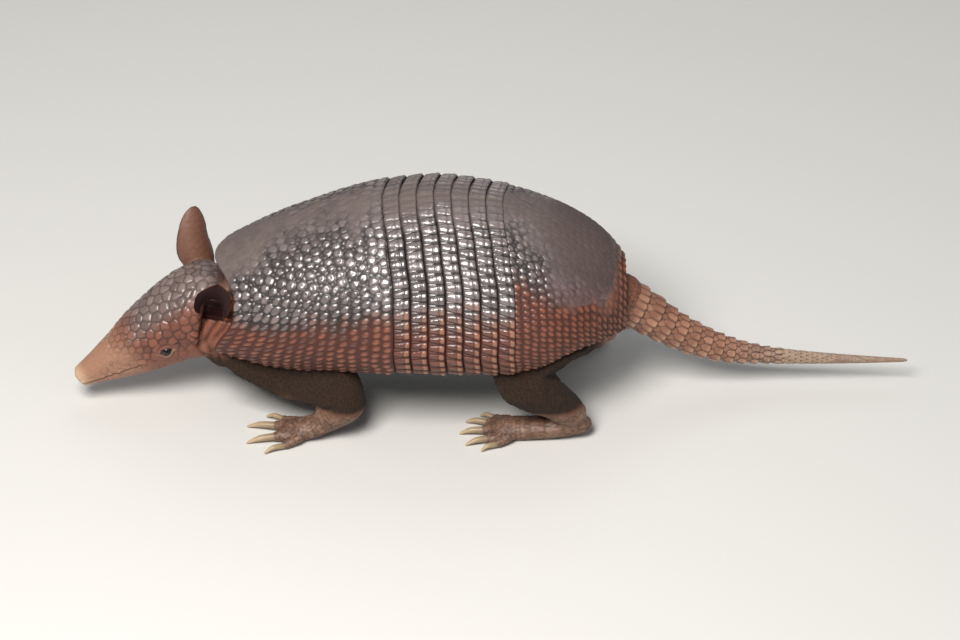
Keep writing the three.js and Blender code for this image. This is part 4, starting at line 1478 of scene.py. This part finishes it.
def ear(side):
    """An ear, on the -Y side for -1 and on the +Y side for 1."""
    rows, columns = 52, 36
    along, share = np.meshgrid(np.linspace(0, 1, rows), np.linspace(-1, 1, columns), indexing="ij")
    root = 0.6 + 0.4 * np.sin(math.pi / 2 * np.minimum(1, along / 0.4))
    tip = np.sqrt(np.maximum(0.02, 1 - np.maximum(0, (along - 0.36) / 0.64) ** (2.9 if side < 0 else 2.0)))
    half = EAR["width"] / 2 * root * tip
    curl = lerp(2.0, 0.85, np.minimum(1, along * 1.4))
    radius = half / np.sin(np.minimum(curl, math.pi / 2))
    angle = curl * share
    rim = np.minimum(1 - np.abs(share), (1 - along) * 2.2)
    thin = lerp(0.35, 1.0, ramp(rim, 0.0, 0.3))
    bulge = -1.6 * np.sin(math.pi * along)
    behind = 3.2 * np.clip(share, 0, 1) ** 1.5 * ramp(along, 0.6, 0.1) * (side > 0)
    faces = []
    for lower, depth in ((0, OUTSIDE_INSET), (0.1, EAR["wall"] * thin)):
        r = radius - depth
        across = r * np.sin(angle) + bulge + behind
        outward = r * np.cos(angle) - radius
        faces.append(np.stack([across, outward, along * EAR["length"] - lower], -1))
    outer, inner = faces
    pebbles = np.clip(noise(outer, 3.4, 61), -0.6, 1)
    radial = np.stack([np.sin(angle), np.cos(angle), 0 * angle], -1)
    outer = outer + radial * (0.07 * pebbles - 0.07)[..., None]
    outer, inner = (from_head(ear_to_head(points, side)) for points in (outer, inner))
    flat = 0 * along
    edge = ramp(np.minimum(1 - np.abs(share), (1 - along) * 3), 0.16, 0.0)
    masks = {"groove": 0.5 * edge + 0.22, "inside": flat, "fur": flat, "leg": flat + 0.6}
    masks |= {"snout": flat, "tip": flat, "scaly": flat, "tone": flat + 0.2, "cheek": flat + 1.0}
    made = slab_piece(f"ear_skin_{side}", outer, inner, np.arange(rows), masks)
    # the ear's whole inner face is marked for painted shade
    dark = np.zeros(len(made.data.vertices), np.float32)
    dark[rows * columns :] = 1.0  # the inner face's points come after all of the outer face's
    made.data.attributes["inside"].data.foreach_set("value", dark)
    return made


ears = [ear(-1), ear(1)]
print("ears:", sum(count_triangles(piece) for piece in ears), "triangles")

# %% [markdown]
# ## Trunk, neck, legs and feet
#
# The rest of the skin joins many forms that run into one another: the trunk inside the shell, the neck, four
# legs, and feet with their toes. Each is a simple loft. A voxel remesh then wraps all of them in one even
# surface, which removes what is inside and closes every join, and a few rounds of smoothing turn the joins
# into soft transitions.
#
# The legs are written once, for the +Y side, and mirrored. Each leg also has a step of its own, forward or
# back, so the animal stands as if it had just stopped walking.

# %% Stations of neck, chest, legs and toes
SIDES = {"left": -1, "right": 1}
# Each station is x, y, z and a radius.
CHEST = [[-147, 0, 31, 12], [-139, 0, 30, 18.5], [-127, 0, 31, 22], [-110, 0, 34, 24]]
NECK = [[-148, 2, 40, 14], [-141, 0, 42.5, 19.5], [-130, 0, 45, 26], [-112, 0, 50, 31]]
TAIL_COLLAR = [[58, 0, 60, 12], [63, 0, 57, 13], [67, 0, 54.6, 13.1], [69.5, 0, 53, 12], [72, 0, 51.4, 9.5]]
LEGS = {
    "fore": {
        "leg": [
            [-126, 21, 40, 14.5],
            [-107, 31, 34, 16],
            [-87, 38, 30, 14],
            [-79, 42.5, 22, 10.5],
            [-88, 43, 12, 7.8],
        ],
        "foot": [[-86, 43, 12, 7.4], [-95, 43, 6.6, 7.6], [-103, 43, 4.3, 7.4], [-107, 43, 3.8, 5.4]],
        # Each toe is its place across the foot, its length, its radius and its claw's length.
        "toes": [[-7.6, 5, 2.6, 8], [-2.7, 8.5, 3.3, 14], [2.7, 8.5, 3.3, 13.5], [7.8, 4, 2.6, 8.5]],
        "steps": {"left": -5, "right": 7},
    },
    "hind": {
        "leg": [[36, 29, 58, 17], [22, 38, 45, 16.5], [22, 42, 34, 14], [37, 43, 23, 10], [47, 42, 13, 7.8]],
        "foot": [
            [51, 42, 7, 6.2],
            [40, 42, 5.4, 7],
            [24, 42, 4.5, 7.6],
            [14, 42, 4.2, 7.8],
            [9, 42, 3.8, 5.4],
        ],
        "toes": [
            [-8.2, 3, 2.6, 6.5],
            [-4.3, 7, 3, 10],
            [0, 8.6, 3.2, 11.5],
            [4.3, 7, 3, 10],
            [8.2, 2.5, 2.6, 6.5],
        ],
        "steps": {"left": 6, "right": -5},
    },
}
TOE_SPREAD = 0.06


def limb_points(stations, side, step, keep_first):
    """A limb's stations on one side, moved forward by its step. The first one can stay where it is."""
    placed = np.array(stations, float)
    placed[:, 1] *= SIDES[side]
    placed[1 if keep_first else 0 :, 0] -= step
    return placed


def toe_points(kind, side, toe):
    """The toe's stations, and those of its claw."""
    across, long, radius, claw = toe
    end_x, end_y = LEGS[kind]["foot"][-2][:2]
    step = LEGS[kind]["steps"][side]
    tip = 4 + long

    def at(along, z, r):
        y = SIDES[side] * (end_y + across) + SIDES[side] * across * TOE_SPREAD * along
        return [end_x - step - along, y, z, r]

    bones = [at(-1, 4.4, radius), at(tip / 2, radius + 0.2, radius), at(tip, radius - 0.3, 0.86 * radius)]
    start = tip - 1.6
    bend = [at(start, radius - 0.2, 0.66 * radius), at(tip + 0.6, radius - 0.1, 0.6 * radius)]
    bend += [at(tip + 0.6 + 0.5 * claw, 2.9, 0.48 * radius), at(tip + 0.6 + claw, 0.75, 0.5)]
    return np.array(bones), np.array(bend)


# %% Lofts
SOLE_FLATNESS = 0.72
UNDER = PLATE + 0.9  # the trunk lies this deep under the shell's surface
CAP_LEANS = (25, 50, 70, 85)  # degrees: the rings of a rounded end


def loft(name, stations, rows, columns, flat=1.0, round_end=True, bulge=1.0):
    """A tube through stations. flat squeezes its height, and bulge is how far its rounded ends reach."""
    stations = np.asarray(stations, float)
    t = np.linspace(0, 1, rows)
    radius = radius_at(stations, t)
    turns = np.linspace(0, 2 * math.pi, columns, endpoint=False)
    grid = tube_points(stations[:, :3], t, radius[:, None] + 0 * turns, turns, flat)
    if round_end:
        centre, across, up = frame_along(stations[:, :3], np.array([0.0, 1.0]))
        forward = np.cross(across, up)
        caps = []
        for end, sign in ((0, -1), (-1, 1)):
            ring, middle = grid[end], centre[end]
            layers = []
            for lean in CAP_LEANS:
                a = math.radians(lean)
                push = forward[end] * sign * radius[end] * math.sin(a) * bulge
                layers.append(middle + (ring - middle) * math.cos(a) + push * np.array([1, 1, flat]))
            caps.append(np.array(layers))
        grid = np.concatenate([caps[0][::-1], grid, caps[1]])
    return tube_piece(name, grid)


def body_lofts():
    made = [loft("collar_form", TAIL_COLLAR, 24, 48, round_end=False)]
    x = np.linspace(-129, 65.5, 90)[:, None]
    angle = np.linspace(-math.pi, math.pi, 121)[None, :-1]
    made.append(tube_piece("trunk_form", body_point(x, angle, np.full((90, 120), -UNDER))))
    made.append(loft("neck_form", NECK, 30, 60, round_end=False))
    made.append(loft("chest_form", CHEST, 30, 60, flat=0.6, bulge=0.5))
    for kind, limb in LEGS.items():
        for side in SIDES:
            step = limb["steps"][side]
            leg = limb_points(limb["leg"], side, step, True)
            foot = limb_points(limb["foot"], side, step, False)
            made.append(loft("leg_form", leg, 40, 40, bulge=0.8))
            made.append(loft("foot_form", foot, 30, 36, SOLE_FLATNESS))
            for toe in limb["toes"]:
                made.append(loft("toe_form", toe_points(kind, side, toe)[0], 14, 20, bulge=0.5))
    return made


# %% Changing meshes that exist
def read(items, key, each=1, kind=np.float32):
    """One property of all items, such as the places of all vertices, in a single fast call."""
    values = np.empty(len(items) * each, kind)
    items.foreach_get(key, values)
    return values.reshape(-1, each) if each > 1 else values


def joined(pieces, name):
    """One object with the meshes of all the pieces."""
    points, faces, base = [], [], 0
    for mesh in [piece.data for piece in pieces]:
        points.append(read(mesh.vertices, "co", 3) / MM)
        faces += [[v + base for v in face.vertices] for face in mesh.polygons]
        base += len(mesh.vertices)
    for piece in pieces:
        bpy.data.objects.remove(piece)
    mesh = bpy.data.meshes.new(name)
    mesh.from_pydata((np.concatenate(points) * MM).tolist(), [], faces)
    made = bpy.data.objects.new(name, mesh)
    bpy.context.scene.collection.objects.link(made)
    return made


def applied(piece, kind, **settings):
    """The piece's mesh after one modifier."""
    modifier = piece.modifiers.new(kind, kind)
    for key, value in settings.items():
        setattr(modifier, key, value)
    graph = bpy.context.evaluated_depsgraph_get()
    changed = piece.evaluated_get(graph)
    mesh = bpy.data.meshes.new_from_object(changed, preserve_all_data_layers=True, depsgraph=graph)
    piece.modifiers.clear()
    piece.data = mesh
    return piece


def coordinates(mesh):
    return read(mesh.vertices, "co", 3).astype(float) / MM


def put_coordinates(mesh, points):
    mesh.vertices.foreach_set("co", (points * MM).astype(np.float32).ravel())
    mesh.update()


def edge_pairs(mesh):
    return read(mesh.edges, "vertices", 2, np.int32)


def spread(values, pairs, rounds, weight):
    """Blends each point's values with its neighbours' mean, as strongly as weight says."""
    count = np.bincount(pairs.ravel(), minlength=len(values)).astype(float)
    for _ in range(rounds):
        total = np.zeros_like(values)
        for near, far in ((0, 1), (1, 0)):
            for column in range(values.shape[1]):
                total[:, column] += np.bincount(pairs[:, near], values[pairs[:, far], column], len(values))
        mean = total / np.maximum(count, 1)[:, None]
        values = values + (mean - values) * weight[:, None]
    return values


# %% One body
VOXEL = 1.05
body = joined(body_lofts(), "body_form")
body = applied(body, "REMESH", mode="VOXEL", voxel_size=VOXEL * MM, adaptivity=0.0)
print("remeshed body:", len(body.data.vertices), "points")

# %% [markdown]
# ## Folds, scales and thin coat of the body
#
# The belly and chest carry low cross folds, and the neck has deep ones. The lower legs, the feet and the
# tail's root have small rounded scales. Their centres come from rings round each limb's own line, so that
# the rows run round the limb. Finding the scale that a point belongs to is a search for its nearest centre,
# which a tree of the centres makes fast.
#
# The part of the trunk under the plates is never seen. It sinks 2 mm, so that it can't come through them,
# and is thinned out to save triangles.

# %% Nearest scales, and skin that stays under the plates
from mathutils import kdtree


def tree_of(places):
    tree = kdtree.KDTree(len(places))
    for number, place in enumerate(places):
        tree.insert(place, number)
    tree.balance()
    return tree


def nearest_two(points, seeds):
    """Numbers of the two nearest seeds of each point, and the distances to them."""
    tree = tree_of(seeds)
    found = [tree.find_n(point, 2) for point in points]
    first = np.array([pair[0][1] for pair in found])
    second = np.array([pair[1][1] for pair in found])
    d1 = np.array([pair[0][2] for pair in found])
    d2 = np.array([pair[1][2] for pair in found])
    return first, second, d1, d2


def tucked(points):
    """Points that would pierce the plates, pulled back under them. Past the plates' rims they may bulge."""
    x, share = np.meshgrid(np.linspace(shell_front_x + 0.3, shell_rear_x - 0.3, 110), np.linspace(-1, 1, 100))
    angle = share * margin_angle(x)
    under = body_point(x, angle, np.full_like(x, -UNDER)).reshape(-1, 3)
    normal = unit(body_point(x, angle, 0 * x).reshape(-1, 3) - under)
    tree = tree_of(under)
    nearest = np.array([tree.find(point)[1] for point in points])
    away = points - under[nearest]
    out = np.sum(away * normal[nearest], axis=1)
    past = np.linalg.norm(away - out[:, None] * normal[nearest], axis=1)
    excess = np.maximum(0, out - 1.6 * np.maximum(0, past - 1.5)) * ramp(past, 9, 4)
    behind = ramp(points[:, 0], 60, 65) * ramp(np.abs(points[:, 1]), 18, 16)
    return points - normal[nearest] * (excess * (1 - behind))[:, None]


# %% Seeds of the small scales
SCALE_PITCH = {"leg": 2.9, "foot": 2.5, "toe": 1.9, "collar": 2.7}
ROW_SPACING = 0.87  # of the pitch: rows of round scales that are set off by half a scale lie this close


def scaly_lines():
    """The lines that scales run round: their stations, their flatness and the scales' pitch."""
    lines = []
    for kind, limb in LEGS.items():
        for side in SIDES:
            step = limb["steps"][side]
            lines.append((limb_points(limb["leg"], side, step, True), 1.0, SCALE_PITCH["leg"]))
            lines.append((limb_points(limb["foot"], side, step, False), SOLE_FLATNESS, SCALE_PITCH["foot"]))
            lines += [(toe_points(kind, side, toe)[0], 1.0, SCALE_PITCH["toe"]) for toe in limb["toes"]]
            if kind == "hind" and side == "left":
                lines.append((np.array(TAIL_COLLAR, float), 1.0, SCALE_PITCH["collar"]))
    return lines


def limb_seeds():
    seeds = []
    for stations, flat, pitch in scaly_lines():
        long = float(np.linalg.norm(np.diff(stations[:, :3], axis=0), axis=-1).sum())
        for row, t in enumerate(np.linspace(0, 1, max(3, round(long / pitch / ROW_SPACING)))):
            radius = float(radius_at(stations, t))
            count = max(5, round(2 * math.pi * radius / pitch))
            turns = (np.arange(count) + 0.5 * (row % 2)) * 2 * math.pi / count
            radii = np.full((1, count), radius)
            seeds.append(tube_points(stations[:, :3], np.array([t]), radii, turns, flat)[0])
    seeds = np.concatenate(seeds)
    return seeds + np.random.default_rng(8).normal(0, 0.12, seeds.shape)


# %% Relief of the body
SUNK = 2.0  # how far the hidden trunk is pushed in


def add_leg_scales(points, leg, out, groove, tone):
    """Changes the height, groove and tone where leg is above 0. The soles stay plain."""
    on_leg = np.nonzero(leg > 0.01)[0]
    seeds = limb_seeds()
    first, second, d1, d2 = nearest_two(points[on_leg], seeds)
    border = (d2**2 - d1**2) / (2 * np.linalg.norm(seeds[first] - seeds[second], axis=-1) + 1e-6)
    dome = eased(border / 0.8)
    shown = leg[on_leg] * (1 - ramp(points[on_leg, 2], 2.2, 1.2))
    out[on_leg] += shown * (0.4 * dome - 0.3)
    groove[on_leg] = np.maximum(groove[on_leg], shown * (1 - ramp(border, 0.02, 0.35)) * 0.8)
    tone[on_leg] = chance(first, 3.0, 83)


def pressed_under_ears(points):
    """Presses the skin down where an ear's funnel opens, and marks it for painted shade."""
    inside = np.zeros(len(points))
    for side in (-1, 1):
        here = head_to_ear(to_head(points), side)
        x, y, z = here.T
        dark = ramp(y + 0.17 * x, -9.9, -8.7) * ramp(z, 16, 12) * (z > -13) * ramp(np.abs(x), 11.5, 10)
        dark = dark * (y < 3) * (points[:, 1] * side > 0)
        here[:, 2] = lerp(z, np.minimum(z, -7.0), dark)
        points = lerp(points, from_head(ear_to_head(here, side)), dark[:, None])
        inside = np.maximum(inside, dark)
    return points, inside


def body_relief(piece):
    """Smooths the remeshed body, gives it its relief and its masks, and marks its hidden part."""
    mesh = piece.data
    points = coordinates(mesh)
    points = spread(points, edge_pairs(mesh), 6, np.full(len(points), 0.6))
    put_coordinates(mesh, points)
    normals = read(mesh.vertices, "normal", 3)
    x, y, z = points.T
    margin_z = body_at(x)[-1]
    hidden = ramp(z, margin_z + 2, margin_z + 7) * ramp(x, -134, -128) * ramp(x, 54, 50)
    collar = ramp(x, 61, 64) * ramp(np.abs(y), 20, 18)
    leg = np.maximum(ramp(z, 22, 16) * ramp(np.abs(y), 24, 29), collar)
    folds = (1 - leg) * (1 - hidden)
    ridge = noise(points * np.array([1.0, 0.35, 0.35]), 7.0, 81)
    fine = noise(points * np.array([1.0, 0.25, 0.3]), 2.4, 82)
    out = folds * (0.35 * ridge + 0.12 * fine) - SUNK * hidden
    groove = folds * ramp(-ridge, 0.5, 1.1) * 0.6
    tone = np.full(len(points), 0.5)
    add_leg_scales(points, leg, out, groove, tone)

    nape_z = 33 + 9 * ramp(np.abs(y), 16, 21)
    nape = ramp(x, -124, -130) * ramp(z, nape_z, nape_z + 4)
    wave = np.cos(2 * math.pi * (x - 0.49 * z + 0.8 * noise(points, 14.0, 84)) / 4.7)
    out = out * (1 - nape) + nape * (0.75 * wave - 0.35)
    groove = np.maximum(groove * (1 - nape), nape * ramp(-wave, 0.35, 0.95) * 0.95)
    points, inside = pressed_under_ears(points + normals * out[:, None])
    points = tucked(points)
    points[:, 2] = np.maximum(points[:, 2], 0.0)
    put_coordinates(mesh, points)

    flat = 0 * z
    bare = ramp(x, -122, -128) * ramp(z, nape_z - 6, nape_z)
    fur = (1 - leg) * ramp(x, -152, -142) * ramp(x, 60, 52) * (1 - bare)
    leg = np.maximum(leg * (1 - 0.7 * collar), 0.8 * nape * ramp(z, 52, 60))
    groove = np.maximum(groove, 0.45 * nape * ramp(z, 52, 58))
    masks = {"groove": groove, "tone": tone, "leg": leg, "fur": fur, "cheek": flat + 1, "inside": inside}
    masks |= {"snout": flat, "tip": flat, "scaly": flat}
    add_masks(mesh, masks)
    group = piece.vertex_groups.new(name="hidden")
    fully, partly = hidden >= 1.0, (hidden > 0.02) & (hidden < 1.0)
    for chosen, weight in ((fully, 1.0), (partly, 0.5)):
        group.add(np.nonzero(chosen)[0].tolist(), weight, "REPLACE")
    return piece


body = body_relief(body)

# %% Fewer triangles where nobody looks
BODY_TRIANGLES = 122000
kept_share = min(1.0, BODY_TRIANGLES / count_triangles(body))
body = applied(body, "DECIMATE", ratio=kept_share, vertex_group="hidden", vertex_group_factor=2.0)
print("body after thinning:", count_triangles(body), "triangles")

# %% [markdown]
# ## One skin
#
# Head, ears and body are joined by a boolean union, which cuts the meshes where they cross and throws the
# inner parts away. The masks of the points that the cut adds are empty, so these points take the mean of
# their neighbours. The same neighbours then soften the crease at each join. The cut's points are those that
# no part had before.

# %% Union of the parts
def union(pieces, name):
    whole = pieces[0]
    for other in pieces[1:]:
        whole = applied(whole, "BOOLEAN", operation="UNION", solver="MANIFOLD", object=other)
        bpy.data.objects.remove(other)
    whole.name = name
    return whole


head_and_ears_points = np.concatenate([coordinates(piece.data) for piece in [head, *ears]])
body_points = coordinates(body.data)
skin = union([body, head, *ears], "skin")
mesh = skin.data
print("union:", len(mesh.vertices), "points")

# %% Masks and soft creases at the joins
MASKS = ("groove", "tone", "leg", "fur", "cheek", "inside", "snout", "tip", "scaly")
MATCH = 200  # two points are the same if they agree to 1/200 mm


def grid_cells(points):
    return [tuple(row) for row in np.round(points * MATCH).astype(int).tolist()]


pairs = edge_pairs(mesh)
points = coordinates(mesh)
known = set(grid_cells(head_and_ears_points)) | set(grid_cells(body_points))
cut = np.array([cell not in known for cell in grid_cells(points)])
print("points made by the cuts:", int(cut.sum()))
values = np.stack([read(mesh.attributes[key].data, "value").astype(float) for key in MASKS], 1)
values[cut] = 0.5
values = spread(values, pairs, 4, cut.astype(float))
near = spread(cut.astype(float)[:, None], pairs, 3, np.ones(len(points)))[:, 0]
near = np.clip(near * 3, 0, 1)
points = spread(points, pairs, 6, 0.5 * near)
points[:, 2] = np.maximum(points[:, 2], 0.0)
put_coordinates(mesh, points)
for column, key in enumerate(MASKS):
    mesh.attributes[key].data.foreach_set("value", values[:, column].astype(np.float32))

# %% The skin's material, and the solids it replaces
mesh.polygons.foreach_set("use_smooth", np.ones(len(mesh.polygons), bool))
mesh.materials.clear()
mesh.materials.append(skin_material)
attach(skin, "root")
# Each of the solids of flesh is a node of its own in the frame.
flesh = ["head", "neck", "trunk", "ear_left", "ear_right"]
flesh += [f"{kind}_{part}_{side}" for kind in LEGS for part in ("leg", "foot") for side in SIDES]
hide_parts(*flesh)
print("skin:", count_triangles(skin), "triangles")

# %% [markdown]
# ## Eyes and claws
#
# The eyes are small and almost black, with a wet shine and a cornea that bulges a little. The claws are
# smooth tapering horns that curve down to the ground, each seated in its toe. Both are closed tubes again.

# %% Eyes
def eye_finish():
    eye = Finish("dark_eye", Roughness=0.18, IOR=1.55)
    iris = eye.mask("iris")
    colour = eye.mix(tint(34, 18, 12), tint(8, 5, 5), eye.rise(iris + eye.grain(0.6, 2) * 0.1, 0.45, 0.6))
    eye.feed("Base Color", colour)
    return eye.material


eye_material = eye_finish()
for side, centre in EYES.items():
    rings, columns = 26, 40
    polar = np.linspace(0.02, math.pi - 0.02, rings)[:, None]
    turns = np.linspace(0, 2 * math.pi, columns, endpoint=False)[None, :]
    out = math.copysign(1, centre[1])
    outward = np.cos(polar) * out + 0 * turns
    ball = np.stack([np.sin(polar) * np.cos(turns), outward, np.sin(polar) * np.sin(turns)], -1)
    cornea = 1 + 0.13 * hump(polar, 0, 0.55)
    grid = from_head(centre + ball * (EYE_RADIUS - 0.02) * cornea[..., None])
    made = tube_piece(f"eyeball_{side}", grid, {"iris": 1 - ramp(polar, 0.6, 0.9) + 0 * turns})
    made.data.materials.append(eye_material)
    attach(made, "root")
    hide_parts(f"eye_{side}")
    print("eyeball", side, "with", count_triangles(made), "triangles")

# %% Claws
def claw_finish():
    claw = Finish("claw_horn", Roughness=0.35)
    fine = claw.grain(1.2, 3)
    colour = claw.mix(tint(86, 66, 50), tint(190, 166, 132), claw.mask("tip") * 0.8 + fine * 0.25)
    claw.feed("Base Color", colour)
    claw.feed("Roughness", 0.3 + fine * 0.25)
    claw.bump(fine, 0.05)
    return claw.material


claw_material = claw_finish()


def claw(kind, side, number, toe):
    bend = toe_points(kind, side, toe)[1]
    rows, columns = 36, 20
    t = np.linspace(0, 1, rows)
    radius = radius_at(bend, t)
    radius = radius * np.sqrt(np.clip((1.001 - t) / 0.05, 0, 1))
    turns = np.linspace(0, 2 * math.pi, columns, endpoint=False)
    ridge = 1 + 0.1 * np.cos(turns - math.pi / 2) ** 3
    grid = tube_points(bend[:, :3], t, radius[:, None] * ridge, turns)
    grid[..., 2] = np.maximum(grid[..., 2], 0.0)
    made = tube_piece(f"horn_{kind}_{side}_{number}", grid, {"tip": t[:, None] + 0 * turns})
    made.data.materials.append(claw_material)
    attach(made, "root")
    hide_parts(f"{kind}_claw_{side}_{number}")
    return made


claws = [
    claw(kind, side, number, toe)
    for kind, limb in LEGS.items()
    for side in SIDES
    for number, toe in enumerate(limb["toes"], 1)
]
print(len(claws), "claws")

# %% [markdown]
# ## Floor, light and camera
#
# A museum shows its models on plain pale paper. The main light stands in front and above, where it makes the
# polished scutes of the flank shine. A weaker one fills the shadow side, and a third draws the far rim of
# the back. The camera looks down on the left flank, from far enough away that the near side is hardly
# enlarged.

# %% Floor
FLOOR_REACH = 6.0
floor_mesh = bpy.data.meshes.new("floor")
corners = [(x * FLOOR_REACH, y * FLOOR_REACH, 0) for x, y in ((-1, -1), (1, -1), (1, 1), (-1, 1))]
floor_mesh.from_pydata(corners, [], [(0, 1, 2, 3)])
floor = bpy.data.objects.new("floor", floor_mesh)
bpy.context.scene.collection.objects.link(floor)
paper = bpy.data.materials.new("paper")
paper.use_nodes = True
paper_shader = paper.node_tree.nodes["Principled BSDF"]
paper_shader.inputs["Base Color"].default_value = (0.62, 0.61, 0.58, 1)
paper_shader.inputs["Roughness"].default_value = 0.9
floor.data.materials.append(paper)
floor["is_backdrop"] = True
print("floor:", 2 * FLOOR_REACH, "m square")

# %% Lights
from mathutils import Vector

centre = (CAD_BOX[0] + CAD_BOX[1]) / 2


def area_light(name, azimuth, elevation, distance, size, watts, colour):
    """A square light that looks at the animal's middle. Azimuth 0 is in front of the left flank."""
    data = bpy.data.lights.new(name, "AREA")
    data.energy = watts
    data.size = size
    data.color = colour
    lamp = bpy.data.objects.new(name, data)
    a, e = math.radians(azimuth), math.radians(elevation)
    back = Vector((math.sin(a) * math.cos(e), -math.cos(a) * math.cos(e), math.sin(e)))
    lamp.location = centre + back * distance
    lamp.rotation_mode = "QUATERNION"
    lamp.rotation_quaternion = (-back).to_track_quat("-Z", "Y")
    bpy.context.scene.collection.objects.link(lamp)


area_light("key", azimuth=-24, elevation=52, distance=1.3, size=0.55, watts=24, colour=(1.0, 0.97, 0.94))
area_light("fill", azimuth=60, elevation=35, distance=1.6, size=1.2, watts=2, colour=(0.92, 0.96, 1.0))
area_light("rim", azimuth=170, elevation=50, distance=1.6, size=1.0, watts=4, colour=(0.95, 0.98, 1.0))
world = bpy.data.worlds.new("studio")
world.use_nodes = True
sky = world.node_tree.nodes["Background"]
sky.inputs["Color"].default_value = (0.9, 0.95, 1.0, 1)
sky.inputs["Strength"].default_value = 0.22
bpy.context.scene.world = world
bpy.context.scene.view_settings.view_transform = "Standard"

# %% Camera
AIM = (-0.0061, 0.0, 0.0419)
CAMERA_DISTANCE = 1.8
CAMERA_ELEVATION = math.radians(35)
camera_data = bpy.data.cameras.new("camera")
camera_data.lens = 131.8
camera = bpy.data.objects.new("camera", camera_data)
back = CAMERA_DISTANCE * math.cos(CAMERA_ELEVATION)
rise = CAMERA_DISTANCE * math.sin(CAMERA_ELEVATION)
camera.location = (AIM[0], AIM[1] - back, AIM[2] + rise)
camera.rotation_euler = (math.radians(90) - CAMERA_ELEVATION, 0, 0)
bpy.context.scene.collection.objects.link(camera)
bpy.context.scene.camera = camera
print("camera:", CAMERA_DISTANCE, "m away, looking down at 35 degrees")

# %% Sizes and the end
box_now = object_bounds()
low, high = ([round(v / MM, 1) for v in corner] for corner in box_now)
print("visual model from", low, "to", high)
